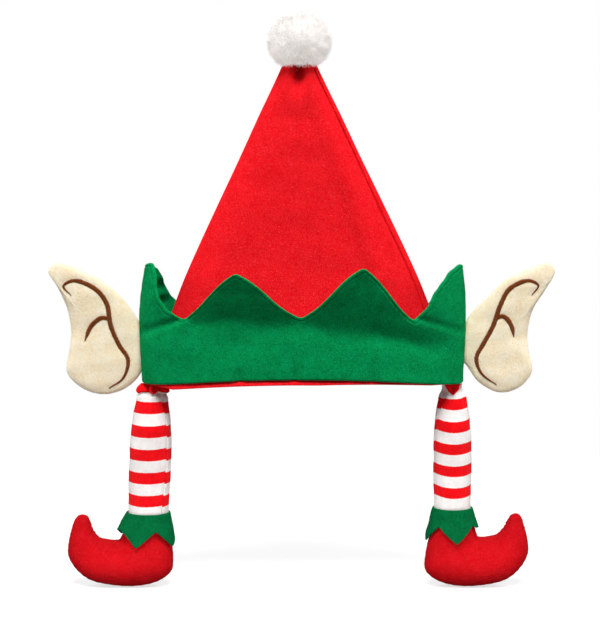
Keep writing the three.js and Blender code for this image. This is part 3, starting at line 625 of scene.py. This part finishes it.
ear_outlines = {
    -1: {"across": [1.0, 0.92, 0.77, 0.5, 0.25, 0.08, -0.04, -0.05, 0.04, 0.19, 0.4, 0.62, 0.81, 0.79,
                    0.763, 0.8, 0.913],
         "up": [0.94, 1.0, 0.982, 0.898, 0.765, 0.62, 0.45, 0.26, 0.13, 0.041, 0.0, 0.036, 0.16, 0.32,
                0.46, 0.643, 0.83]},
    1: {"across": [0.982, 0.906, 0.768, 0.492, 0.246, 0.069, -0.039, -0.049, 0.049, 0.167, 0.394, 0.611,
                   0.747, 0.709, 0.694, 0.749, 0.886],
        "up": [0.944, 1.004, 0.977, 0.891, 0.734, 0.604, 0.454, 0.304, 0.204, 0.094, 0.014, 0.054,
               0.174, 0.334, 0.454, 0.644, 0.804]},
}
stitch_lines = {
    -1: {"across": [0.751, 0.832, 0.72, 0.486, 0.37, 0.329, 0.242, 0.146, 0.2, 0.354],
         "up": [0.754, 0.823, 0.866, 0.799, 0.69, 0.526, 0.381, 0.27, 0.13, 0.052]},
    1: {"across": [0.729, 0.796, 0.69, 0.491, 0.394, 0.314, 0.217, 0.139, 0.197, 0.357],
        "up": [0.757, 0.828, 0.866, 0.804, 0.684, 0.521, 0.394, 0.279, 0.164, 0.08]},
}
branch_lines = {
    -1: {"across": [0.335, 0.425, 0.536, 0.611], "up": [0.575, 0.584, 0.526, 0.411]},
    1: {"across": [0.345, 0.427, 0.511, 0.543], "up": [0.584, 0.596, 0.528, 0.439]},
}


def ear_places(side, table):
    base = side * (band_half_width + band_belly * 0.5)
    return np.stack([base + side * np.array(table["across"]) * ear_length,
                     ear_lift + np.array(table["up"]) * ear_height], -1)


def smooth_curve(points, closed, count):
    """Even steps along a smooth curve through points, for outlines and stitch lines."""
    if closed:
        points = np.vstack([points[-1:], points, points[:2]])
    else:
        points = np.vstack([2 * points[0] - points[1], points, 2 * points[-1] - points[-2]])
    knots = np.concatenate([[0], np.cumsum(np.sqrt(np.linalg.norm(np.diff(points, axis=0), axis=1)))])
    fine = []
    for i in range(1, len(points) - 2):
        t = np.linspace(knots[i], knots[i + 1], 41)[:, None]
        k = knots[i - 1:i + 3]
        a = [(k[j + 1] - t) / (k[j + 1] - k[j]) * points[i - 1 + j]
             + (t - k[j]) / (k[j + 1] - k[j]) * points[i + j] for j in range(3)]
        b = [(k[j + 2] - t) / (k[j + 2] - k[j]) * a[j] + (t - k[j]) / (k[j + 2] - k[j]) * a[j + 1]
             for j in range(2)]
        fine.append(((k[2] - t) / (k[2] - k[1]) * b[0] + (t - k[1]) / (k[2] - k[1]) * b[1])[:-1])
    fine.append(points[-2:-1])
    fine = np.vstack(fine)
    run = np.concatenate([[0], np.cumsum(np.linalg.norm(np.diff(fine, axis=0), axis=1))])
    at = np.linspace(0, run[-1], count + 1)[:count] if closed else np.linspace(0, run[-1], count)
    return np.stack([np.interp(at, run, fine[:, 0]), np.interp(at, run, fine[:, 1])], -1)


def nearest_away(places, line):
    """Distance of each place from a line of points."""
    return np.min([np.hypot(places[:, 0] - x, places[:, 1] - z) for x, z in line], axis=0)


def ear_shape(side):
    """Middle, edge and stitch lines of an ear, as x and z."""
    middle = ear_places(side, {"across": [0.45], "up": [0.43]})[0]
    edge = smooth_curve(ear_places(side, ear_outlines[side]), True, ear_spokes)
    stitches = np.vstack([smooth_curve(ear_places(side, table[side]), False, count)
                          for table, count in ((stitch_lines, 90), (branch_lines, 30))])
    return middle, edge, stitches


def ear_face(places, face, shape):
    """How far the front (-1) or back (1) face of an ear lies from its middle plane."""
    middle, edge, stitches = shape
    out = places - middle
    headings = np.arctan2(edge[:, 1] - middle[1], edge[:, 0] - middle[0])
    reach = np.linalg.norm(edge - middle, axis=1)
    order = np.argsort(headings)
    at = np.arctan2(out[:, 1], out[:, 0])
    share = np.linalg.norm(out, axis=1) / np.interp(at, headings[order], reach[order], period=2 * math.pi)
    full = ear_thickness / 2 * np.sqrt(np.maximum(0, 1 - np.minimum(share, 1) ** 4.5))
    groove = ear_groove * bell(nearest_away(places, stitches), 0.0034) if face < 0 else 0
    uneven = 0.0005 * hand_of_cloth(places[:, 0] * face, places[:, 1], 0.014)
    soft = np.minimum(1, full / 0.004)
    up = (places[:, 1] - middle[1]) / (ear_height / 2)
    cup = ear_cup * up**2 * np.where(up > 0, 2.2, 1)
    return ear_set_back - cup + face * (full - (groove + uneven) * soft)


def make_ear(name, shape):
    """An ear's skin: rings over the front from the middle out, the seam, and back over the other face."""
    middle, edge, stitches = shape
    inner = np.concatenate([np.linspace(0.03, 0.9, 50), 1 - 0.1 * np.cos(np.linspace(0.15, math.pi / 2, 12))])
    rings = []
    for face, shares in ((-1, inner[:-1]), (1, inner[:-1][::-1])):
        for share in shares:
            places = middle + (edge - middle) * share
            y = ear_face(places, face, shape)
            rings.append(np.stack([places[:, 0], y, places[:, 1]], -1))
        if face < 0:
            seam = middle + (edge - middle) * 0.991
            rings.append(np.stack([seam[:, 0], ear_face(seam, 0, shape), seam[:, 1]], -1))
    return grid_mesh(name, rings, cream_felt)


cream_felt = pressed_felt("cream_pressed_felt", "fdefd0", "fffcee", "efd5a6", fleck="fffdf4", blotch_mm=14.0)
ear_shapes = {side: ear_shape(side) for side in (-1, 1)}
for side, label in ((-1, "left"), (1, "right")):
    ear = make_ear(f"ear_{label}_felt", ear_shapes[side])
    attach(ear, "root")
    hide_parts(f"ear_{label}")
    ear_fuzz = felt_fuzz(f"ear_{label}_fuzz", ear, 6000, (40 + side, 44), 0.0016, 0.0001, cream_felt)


# Ear stitching: satin stitch in brown rayon embroidery thread, laid side by side across each line.
# Each stitch goes down through the felt on both sides of the line.
thread_pitch = 0.00036
stitch_height = 0.0008
line_width = 0.0043


def satin_thread(name, colour, deep):
    """Rayon embroidery thread: a soft shine along the filaments."""
    material, tree = new_material(name)
    place = add_node(tree, "ShaderNodeTexCoord").outputs["Object"]
    tone = add_node(tree, "ShaderNodeTexNoise", {"Vector": place, "Scale": 1000 / 1.6, "Detail": 3.0})
    mixed = add_node(tree, "ShaderNodeMix", {
        "Factor": tone.outputs["Fac"], 6: linear(deep), 7: linear(colour)}, data_type="RGBA")
    shader = add_node(tree, "ShaderNodeBsdfPrincipled", {
        "Base Color": mixed.outputs[2], "Roughness": 0.5, "Specular IOR Level": 0.15})
    finish_material(tree, shader)
    return material


def satin_line(side, table, shape, start_width, draw):
    """The threads of one line, as points along each thread across the line, raised into a round as if over a
    filling, and the line's direction.
    """
    rough = smooth_curve(ear_places(side, table[side]), False, 60)
    length = np.linalg.norm(np.diff(rough, axis=0), axis=1).sum()
    count = int(length / thread_pitch)
    line = smooth_curve(ear_places(side, table[side]), False, count)
    along = np.gradient(line, axis=0)
    along /= np.linalg.norm(along, axis=1, keepdims=True)
    across = np.stack([along[:, 1], -along[:, 0]], -1)
    t = np.linspace(0, 1, count)
    taper = np.minimum(1, np.minimum(start_width + t * 4.2, 0.22 + (1 - t) * 3.6))
    swell = 0.86 + 0.14 * np.sin(math.pi * np.clip(t * 1.15, 0, 1)) ** 2
    half = line_width / 2 * taper * swell * (1 + 0.05 * draw.normal(size=count))
    places = []
    for over in np.linspace(-1, 1, 7):
        shifted = 0.00015 * draw.normal(size=count) * over
        spot = line + across * (half * over)[:, None] + along * shifted[:, None]
        lift = stitch_height * (0.45 + 0.55 * taper) * max(0, 1 - over**2) ** 0.35 - 0.0001
        y = ear_face(spot, -1, shape) - lift
        places.append(np.stack([spot[:, 0], y, spot[:, 1]], -1))
    return np.stack(places, 1), along


def make_threads(name, lines):
    """One mesh of short threads: each is a thin tube over the line's rounded filling."""
    tube_turn = np.linspace(0, 2 * math.pi, 6, endpoint=False)
    vertices, faces, start = [], [], 0
    for places, along in lines:
        count, steps = places.shape[:2]
        beside = np.stack([along[:, 0], 0 * along[:, 0], along[:, 1]], -1)[:, None, None, :]
        up = np.array([0, -1, 0])
        thick = thread_pitch * np.array([0.35] + [0.62] * (steps - 2) + [0.35])[None, :, None, None]
        turn = tube_turn[None, None, :, None]
        tube = places[:, :, None, :] + thick * (np.cos(turn) * beside + np.sin(turn) * up)
        vertices.append(tube.reshape(-1, 3))
        index = start + np.arange(count * steps * 6).reshape(count, steps, 6)
        here, there = index[:, :-1], index[:, 1:]
        quads = np.stack([here, np.roll(here, -1, 2), np.roll(there, -1, 2), there], -1)
        faces += quads.reshape(-1, 4).tolist()
        faces += index[:, 0, ::-1].tolist() + index[:, -1].tolist()
        start += count * steps * 6
    return mesh_piece(name, np.vstack(vertices), faces, brown_thread)


brown_thread = satin_thread("brown_rayon_thread", "8c4818", "602a0a")
for side, label in ((-1, "left"), (1, "right")):
    draw = np.random.default_rng(50 + side)
    lines = [satin_line(side, stitch_lines, ear_shapes[side], 0.22, draw),
             satin_line(side, branch_lines, ear_shapes[side], 0.9, draw)]
    stitching = make_threads(f"ear_stitching_{label}_thread", lines)
    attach(stitching, "root")
    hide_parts(f"ear_stitching_{label}")


# Legs: tubes of brushed red and white striped jersey, sewn with one seam along the side and stuffed.
# The top is gathered with thread and sewn into the hem at the fold; the stripes don't quite meet at the seam.
leg_sections = {"down": [0.12, 0.25, 0.4, 0.6, 0.8, 0.93, 1.0],
                "full": [0.74, 0.88, 0.97, 1.0, 0.98, 0.95, 0.92]}
leg_inset = 0.0046
leg_top_depth = 0.013
leg_top = band_lift - seam_gap
leg_columns = 184
leg_rows = np.concatenate([np.linspace(0, 0.2, 60), np.linspace(0.2, 1, 110)[1:]])


def leg_of(side, diameter, length, sway, top_width, shoe_height, shoe_shift, toe_drop):
    start = side * (hat_half_width - leg_inset)
    return {"radius": diameter / 2, "start": start, "end": start + side * sway,
            "ankle": leg_top - length, "length": length, "top_width": top_width,
            "shoe_height": shoe_height, "shoe_shift": shoe_shift, "toe_drop": toe_drop}


legs = {-1: leg_of(-1, 0.037, 0.120, 0.0046, 0.023, 0.0595, 0.0, 0.0),
        1: leg_of(1, 0.0336, 0.116, 0.0008, 0.017, 0.0635, 0.004, 0.0032)}
# Side seam of each leg, as angles down the leg, and the stripes: first red edge, pitch and red width.
leg_seams = {-1: {"down": [0.0, 0.06, 0.22, 0.32, 0.5, 0.7, 0.88, 1.0],
                  "angle": [-1.1, -0.95, -0.62, -0.56, -0.6, -0.66, -0.74, -0.8]},
             1: {"down": [0.0, 0.1, 0.25, 0.5, 0.75, 1.0],
                 "angle": [-1.95, -2.25, -2.75, -2.95, -3.0, -3.0]}}
stripes = {-1: {"first": -0.0123, "pitch": 0.02033, "red": 0.0101, "side_rise": 0.0009, "step": 0.0016},
           1: {"first": -0.0097, "pitch": 0.0193, "red": 0.0094, "side_rise": 0.0022, "step": 0.0012}}


def leg_radius(leg, rise):
    return leg["radius"] * smooth_table(leg_sections, "down", 1 - rise / leg["length"], "full")


def ruffle_edge(angle):
    """Lower edge of the left leg's gathered ruffle, as a share of the leg's length."""
    return 0.062 + 0.006 * np.cos(5 * angle + 1.3) + 0.004 * np.cos(9 * angle + 0.4)


def fold_shape(angle, down):
    """1 inside the pointed fold that the right leg's top ends in, and 0 beside it."""
    turned = np.where(angle > math.pi * 0.5, angle - 2 * math.pi, angle)
    wide = np.clip(1.05 * (1 - down / 0.085), 0.0, 1.1)
    return (down < 0.088) / (1 + np.exp(np.clip((np.abs(turned + 1.57) - wide) / 0.07, -30, 30)))


def leg_gathers(side, angle, down):
    """Folds where the jersey is gathered into the hem, and the pinch of the gathering thread below them."""
    fade = bell(down, 0.13)
    if side < 0:
        lobes = np.cos(9 * angle + 0.9 + 0.8 * np.sin(2 * angle)) + 0.45 * np.cos(17 * angle + 2.1)
        edge = ruffle_edge(angle)
        ruffle = 0.0012 / (1 + np.exp(np.clip((down - edge) / 0.0035, -30, 30)))
        ruffle = ruffle * np.sqrt(np.clip(down / 0.03, 0.02, 1))
        pinch = -0.0016 * bell(down - edge - 0.010, 0.013) - 0.0018 * bell(down, 0.02)
        turned = np.where(angle > math.pi * 0.5, angle - 2 * math.pi, angle)
        fold_place = -0.85 + (down - 0.05) * 2.2
        fold = -0.0028 * bell(turned - fold_place, 0.1) * bell(down - 0.16, 0.12)
        return ruffle * (1.0 + 0.6 * lobes) + pinch + 0.0006 * lobes * fade + fold
    lobes = np.cos(7 * angle + 2.2 + 0.6 * np.sin(angle)) + 0.4 * np.cos(13 * angle)
    return 0.0013 * fold_shape(angle, down) + 0.0007 * lobes * fade - 0.0009 * bell(down - 0.05, 0.03)


def make_leg(name, side):
    leg, stripe = legs[side], stripes[side]
    seam_start = leg_seams[side]["angle"][3]
    plain = np.linspace(0, 2 * math.pi, leg_columns, endpoint=False)
    near_seam = seam_start + np.linspace(-0.16, 0.16, 33)
    turns = np.concatenate([plain[np.abs(turn_between(plain, seam_start)) > 0.18], near_seam]) % (2 * math.pi)
    angle, down = np.meshgrid(np.sort(turns), leg_rows, indexing="xy")
    radius = leg["radius"] * smooth_table(leg_sections, "down", down, "full")
    into = np.clip(down / 0.12, 0, 1)
    into = into * into * (3 - 2 * into)
    flat = np.clip(down * 3, 0, 1)
    rx = leg["top_width"] / 2 * (1 - into) + radius * into
    ry = leg_top_depth / 2 * (1 - into) + radius * (0.6 + 0.4 * flat) * into
    seam_at = np.interp(down, leg_seams[side]["down"], leg_seams[side]["angle"])
    # The columns near the seam follow it, so that its groove stays sharp all the way.
    angle = angle + (seam_at - seam_start) * bell(turn_between(angle, seam_start), 0.9)
    from_seam = turn_between(angle, seam_at)
    groove = -0.0014 * bell(from_seam * radius, 0.0006)
    uneven = 0.0004 * hand_of_cloth(angle * 0.018, down * 0.12, 0.012)
    extra = leg_gathers(side, angle, down) + (groove + uneven) * np.minimum(1, down * 8)
    x = leg["start"] + (leg["end"] - leg["start"]) * down + (rx + extra) * np.cos(angle)
    y = (ry + extra) * np.sin(angle)
    z = leg_top - leg["length"] * down
    jersey = striped_jersey(f"striped_jersey_{name.split('_')[1]}", stripe)
    piece = grid_mesh(name, np.stack([x, y, z], -1), jersey)
    # Place down the leg as the jersey's own stripes see it, in stripe pitches from the first red edge.
    past_seam = np.where(side * from_seam > 0, -1.0, 1.0) * (1 - np.abs(from_seam) / math.pi)
    shift = stripe["step"] / 2 * past_seam
    course = z - stripe["side_rise"] * np.cos(angle) ** 2 + shift
    course = (stripe["first"] - course) / stripe["pitch"]
    red_top = down < ruffle_edge(angle) if side < 0 else fold_shape(angle, down) > 0.5
    course = np.where(down < 0.11, np.maximum(course, -0.46), np.minimum(course, 4.93))
    course = np.where(red_top, -0.76, course)
    values = np.concatenate([course.ravel(), [course[0].mean(), course[-1].mean()]])
    attribute = piece.data.attributes.new("course", "FLOAT", "POINT")
    attribute.data.foreach_set("value", values)
    return piece


def striped_jersey(name, stripe):
    """Brushed cotton-like jersey with dyed stripes: edges run along the knit, colour is soft and matt."""
    material, tree = new_material(name)
    place = add_node(tree, "ShaderNodeTexCoord").outputs["Object"]
    course = add_node(tree, "ShaderNodeAttribute", attribute_name="course")
    ragged = add_node(tree, "ShaderNodeTexNoise", {"Vector": place, "Scale": 1000 / 1.1, "Detail": 3.0})
    offset = add_node(tree, "ShaderNodeMath", {0: ragged.outputs["Fac"], 1: 0.045}, operation="MULTIPLY")
    moved = add_node(tree, "ShaderNodeMath", {
        0: course.outputs["Fac"], 1: offset.outputs["Value"]}, operation="ADD")
    part = add_node(tree, "ShaderNodeMath", {0: moved.outputs["Value"], 1: 20.022}, operation="ADD")
    part = add_node(tree, "ShaderNodeMath", {0: part.outputs["Value"]}, operation="FRACT")
    red_share = stripe["red"] / stripe["pitch"] + 0.045
    is_red = add_node(tree, "ShaderNodeMapRange", {
        "Value": part.outputs["Value"], "From Min": red_share - 0.012, "From Max": red_share + 0.012,
        "To Min": 1.0, "To Max": 0.0}, clamp=True)
    starts = add_node(tree, "ShaderNodeMapRange", {
        "Value": part.outputs["Value"], "From Min": 0.036, "From Max": 0.054}, clamp=True)
    red_here = add_node(tree, "ShaderNodeMath", {
        0: is_red.outputs["Result"], 1: starts.outputs["Result"]}, operation="MULTIPLY")
    brushed = add_node(tree, "ShaderNodeTexNoise", {"Vector": place, "Scale": 1000 / 0.8, "Detail": 4.0})
    blotch = add_node(tree, "ShaderNodeTexNoise", {"Vector": place, "Scale": 1000 / 6.0, "Detail": 2.0})
    tone = add_node(tree, "ShaderNodeMath", {
        0: brushed.outputs["Fac"], 1: blotch.outputs["Fac"]}, operation="MULTIPLY")
    tone = add_node(tree, "ShaderNodeMapRange", {
        "Value": tone.outputs["Value"], "From Min": 0.12, "From Max": 0.4}, clamp=True)
    white = add_node(tree, "ShaderNodeMix", {
        "Factor": tone.outputs["Result"], 6: linear("e4dcda"), 7: linear("f2efed")}, data_type="RGBA")
    red = add_node(tree, "ShaderNodeMix", {
        "Factor": tone.outputs["Result"], 6: linear("dc0610"), 7: linear("f20c16")}, data_type="RGBA")
    mixed = add_node(tree, "ShaderNodeMix", {
        "Factor": red_here.outputs["Value"], 6: white.outputs[2], 7: red.outputs[2]}, data_type="RGBA")
    bump = add_node(tree, "ShaderNodeBump", {
        "Height": brushed.outputs["Fac"], "Strength": 0.35, "Distance": 0.0004})
    shader = add_node(tree, "ShaderNodeBsdfPrincipled", {
        "Base Color": mixed.outputs[2], "Roughness": 0.92, "Specular IOR Level": 0.05,
        "Sheen Weight": 0.03, "Sheen Roughness": 0.6, "Normal": bump.outputs["Normal"]})
    finish_material(tree, shader)
    return material


for side, label in ((-1, "left"), (1, "right")):
    leg_piece = make_leg(f"leg_{label}_jersey", side)
    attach(leg_piece, "root")
    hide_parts(f"leg_{label}")


# Shoes: red pressed felt, two sides sewn along the outline, turned and stuffed, with the toe curled up.
# The upper edge is sewn to the leg at the ankle, under the collar.
shoe_length = 0.0935
shoe_depth = 0.041
shoe_columns = 136
shoe_sections = {
    "row": list(range(14)),
    "inner_toe": [0.0, 0.215, 0.246, 0.269, 0.293, 0.331, 0.388, 0.444, 0.487, 0.52, 0.537, 0.548,
                  0.565, 0.594],
    "inner_down": [0.0, 0.13, 0.24, 0.302, 0.322, 0.32, 0.31, 0.284, 0.234, 0.159, 0.085, 0.025,
                   -0.025, -0.058],
    "outer_toe": [0.0, -0.217, -0.236, -0.208, -0.076, 0.123, 0.35, 0.543, 0.682, 0.757, 0.755, 0.722,
                  0.695, 0.663],
    "outer_down": [0.0, 0.3, 0.6, 0.785, 0.937, 1.0, 0.99, 0.915, 0.765, 0.56, 0.35, 0.15, 0.01, -0.05],
    "deep": [0.0, 0.94, 0.99, 1.0, 1.0, 0.98, 0.94, 0.86, 0.74, 0.62, 0.5, 0.4, 0.32, 0.16],
}
shoe_tip = {"toe": 0.626, "down": -0.069}


def make_shoe(name, side):
    leg = legs[side]
    ankle = leg["ankle"] - seam_gap
    radius = leg_radius(leg, 0)
    table = {key: list(values) for key, values in shoe_sections.items()}
    table["inner_toe"][0], table["outer_toe"][0] = radius / shoe_length, -radius / shoe_length
    table["deep"][0] = 2 * radius / shoe_depth
    rows = np.concatenate([np.linspace(0, 1, 16), np.linspace(1, 13, 140)[1:]])
    turn = np.linspace(0, 2 * math.pi, shoe_columns, endpoint=False)

    def at(toe, down):
        shift = leg["shoe_shift"] * np.clip(down * 2 - 0.3 + toe * 1.6, 0, 1)
        drop = leg["toe_drop"] * np.clip(1 - down / 0.35, 0, 1) * np.clip((toe - 0.45) * 10, 0, 1)
        return leg["end"] + side * (toe * shoe_length - shift), ankle - down * leg["shoe_height"] - drop

    read = {key: smooth_table(table, "row", rows, key) for key in table}
    inner_x, inner_z = at(read["inner_toe"], read["inner_down"])
    outer_x, outer_z = at(read["outer_toe"], read["outer_down"])
    tip_x, tip_z = at(shoe_tip["toe"], shoe_tip["down"])
    rings = []
    for i, row in enumerate(rows):
        round_x, round_y = np.cos(turn), np.sin(turn)
        middle_x, middle_z = (inner_x[i] + outer_x[i]) / 2, (inner_z[i] + outer_z[i]) / 2
        reach_x, reach_z = (inner_x[i] - outer_x[i]) / 2, (inner_z[i] - outer_z[i]) / 2
        half = read["deep"][i] * shoe_depth / 2
        size = math.hypot(reach_x, reach_z)
        seam = bell(half * round_y, 0.0010) * min(1, row) * 0.0011
        puckers = 0.00014 * np.sin(row * 16 + 2 * np.sign(round_y)) * bell(half * round_y, 0.006)
        uneven = 0.0006 * hand_of_cloth(row * 0.011 * np.ones_like(turn), turn * 0.012, 0.013) * min(1, row)
        wrinkles = 0.0004 * math.sin(row * 8) * np.maximum(0, round_x) ** 2 * bell(row - 9.3, 1.6)
        shrink = 1 - (seam + puckers * min(1, row) + uneven + wrinkles) / max(size, 0.006)
        rings.append(np.stack([middle_x + reach_x * round_x * shrink, half * round_y * shrink,
                               middle_z + reach_z * round_x * shrink], -1))
    last = rings[-1].copy()
    tip = np.array([tip_x, 0, tip_z])
    for share in np.linspace(0, math.pi / 2, 9)[1:-1]:
        rings.append(tip + (last - tip) * (1 - math.sin(share)) ** 0.8)
    return grid_mesh(name, rings, shoe_felt_painted_shade)


# The shoes' felt is a darker copy of the crown's red felt. It is partly a deeper red of the shoes' own, and
# partly painted shade that darkens the whole shoe.
shoe_felt_painted_shade = pressed_felt("deeper_red_felt_painted_shade", "b4060e", "c00e16", "a4020a", fleck="d2343c")
for side, label in ((-1, "left"), (1, "right")):
    shoe = make_shoe(f"shoe_{label}_felt", side)
    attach(shoe, "root")
    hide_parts(f"shoe_{label}")
    shoe_fuzz = felt_fuzz(f"shoe_{label}_fuzz", shoe, 5000, (60 + side, 64), 0.0017, 0.0001, shoe_felt_painted_shade)


# Ankle collars: one layer of green pressed felt, cut with four points and closed into a ring.
# The straight edge is sewn round the ankle and the points fall free over the foot.
collar_wall = 0.0016
collar_drop = 0.014
collar_point = 0.015
collar_flare = 0.0026
collar_splay = {-1: 0.006, 1: 0.001}
collar_rise = 0.006
collar_headings = {-1: -math.pi / 2 - 0.42, 1: -math.pi / 2 + 0.12}
collar_columns = 240


def make_collar(name, side):
    leg = legs[side]
    top = leg["ankle"] + collar_rise
    neck = leg_radius(leg, collar_rise) + seam_gap
    tips = shoe_length * 0.217 + collar_flare
    turn = np.arange(collar_columns) / collar_columns * 2 * math.pi
    angle = collar_headings[side] + turn
    ramp = np.abs(1 - (turn / (math.pi / 4)) % 2)
    ramp = np.where(ramp > 0.94, 0.97 - (1 - ramp) ** 2 / 0.12, ramp)
    ramp = np.where(ramp < 0.06, 0.03 + ramp**2 / 0.12, ramp)
    over_instep = np.maximum(0, side * np.cos(angle)) ** 4
    full_drop = collar_drop + collar_point * ramp * (1 - 0.7 * over_instep)

    def ring(drop_share, inset, back=0.0):
        drop = np.maximum(full_drop * drop_share - back, 0)
        splay = collar_splay[side] * over_instep * drop_share
        radius = neck + (tips - neck) * (drop / (collar_drop + collar_point)) ** 0.9 + splay - inset
        radius = radius + 0.0009 * hand_of_cloth(angle * 0.02, drop, 0.011) * drop_share
        return np.stack([leg["end"] + radius * np.cos(angle), radius * np.sin(angle), top - drop], -1)

    rings = [ring(share, -collar_wall) for share in np.linspace(0.012, 0.985, 30)]
    edge = np.linspace(0.2, math.pi - 0.2, 6)
    rings += [ring(1, -collar_wall / 2 * (1 + math.cos(t)), collar_wall * 0.4 * (1 - math.sin(t)))
              for t in edge]
    rings += [ring(share, 0) for share in np.linspace(0.985, 0.012, 20)]
    top_ring = ring(0, -collar_wall / 2)
    top_ring[:, 2] += 0.0005
    rings.append(top_ring)
    return grid_mesh(name, rings, collar_felt_painted_shade, loop=True)


# The collars' felt is a darker copy of the band's green felt. This is painted shade, for collars that get
# less light than the band.
collar_felt_painted_shade = pressed_felt("green_felt_painted_shade", "005f2f", "006d3a", "004722", fleck="18885a")
for side, label in ((-1, "left"), (1, "right")):
    collar = make_collar(f"collar_{label}_felt", side)
    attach(collar, "root")
    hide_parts(f"collar_{label}")
    collar_fuzz = felt_fuzz(
        f"collar_{label}_fuzz", collar, 2500, (70 + side, 74), 0.0016, 0.0001, collar_felt_painted_shade)


# Studio: a plain white floor in a white dome, one strong soft light high in front and weak ones low in
# front, at both sides, behind and close to the floor. Floor and dome throw no light back on the hat, so the
# faces that lean outward stay dark, as in a dim room.
floor_radius = 0.75
floor_level = legs[-1]["ankle"] - seam_gap - legs[-1]["shoe_height"]
bpy.ops.mesh.primitive_circle_add(
    vertices=128, radius=floor_radius, fill_type="NGON", location=(0, 0, floor_level))
floor = bpy.context.object
floor.name = "studio_floor"
paper, paper_tree = new_material("white_studio_paper")
paper_shader = add_node(paper_tree, "ShaderNodeBsdfPrincipled", {
    "Base Color": linear("a4a4a4"), "Roughness": 0.9,
    "Emission Color": linear("ffffff"), "Emission Strength": 0.66})
finish_material(paper_tree, paper_shader)
floor.data.materials.append(paper)
bpy.ops.mesh.primitive_uv_sphere_add(segments=48, ring_count=24, radius=6)
dome = bpy.context.object
dome.name = "studio_dome"
glow, glow_tree = new_material("white_studio_light")
glow_shader = add_node(glow_tree, "ShaderNodeEmission", {"Color": linear("ffffff"), "Strength": 1.0})
add_node(glow_tree, "ShaderNodeOutputMaterial", {"Surface": glow_shader.outputs["Emission"]})
dome.data.materials.append(glow)
for stage_piece in (floor, dome):
    stage_piece.visible_diffuse = False
    stage_piece.visible_glossy = False
    stage_piece.visible_transmission = False
dome.visible_shadow = False

world = bpy.data.worlds.new("studio")
bpy.context.scene.world = world
world.use_nodes = True
world.node_tree.nodes.clear()
backdrop = add_node(world.node_tree, "ShaderNodeBackground", {"Color": linear("ffffff"), "Strength": 0.12})
add_node(world.node_tree, "ShaderNodeOutputWorld", {"Surface": backdrop.outputs["Background"]})


def soft_light(name, place, aim, width, depth, power):
    """A rectangular area light that faces its aim and that the camera doesn't see."""
    lamp = bpy.data.lights.new(name, "AREA")
    lamp.shape = "RECTANGLE"
    lamp.size, lamp.size_y, lamp.energy = width, depth, power
    light = new_object(name, lamp)
    light.location = place
    light.visible_camera = False
    towards = mathutils.Vector(aim) - mathutils.Vector(place)
    light.rotation_euler = towards.to_track_quat("-Z", "Y").to_euler()


soft_light("overhead_light", (0.02, -1.45, 2.45), (0, 0, 0.1), 1.45, 1.0, 108)
soft_light("front_light", (-0.2, -2.1, 0.1), (0, 0, -0.05), 1.2, 0.8, 2.0)
soft_light("left_light", (-1.9, -0.3, 0.7), (0, 0, 0.05), 1.0, 1.0, 16)
soft_light("right_light", (1.9, -0.3, 0.7), (0, 0, 0.05), 1.0, 1.0, 18)
soft_light("back_light", (0.3, 1.9, 1.1), (0, 0, 0.1), 1.0, 0.8, 24)
soft_light("floor_light", (0, -0.07, floor_level + 0.008), (0, 0, floor_level + 0.1), 0.5, 0.04, 0.2)

camera_elevation = math.radians(5.5)
camera_distance = 1.8
camera_aim = mathutils.Vector((-0.0022, 0, 0.0689))
camera_data = bpy.data.cameras.new("camera")
camera_data.sensor_fit = "HORIZONTAL"
camera_data.sensor_width = 36
camera_data.lens = 123.85
camera = new_object("camera", camera_data)
camera_out = mathutils.Vector((0, -math.cos(camera_elevation), math.sin(camera_elevation)))
camera.location = camera_aim + camera_out * camera_distance
camera.rotation_euler = (-camera_out).to_track_quat("-Z", "Y").to_euler()
bpy.context.scene.camera = camera
bpy.context.scene.view_settings.view_transform = "Standard"
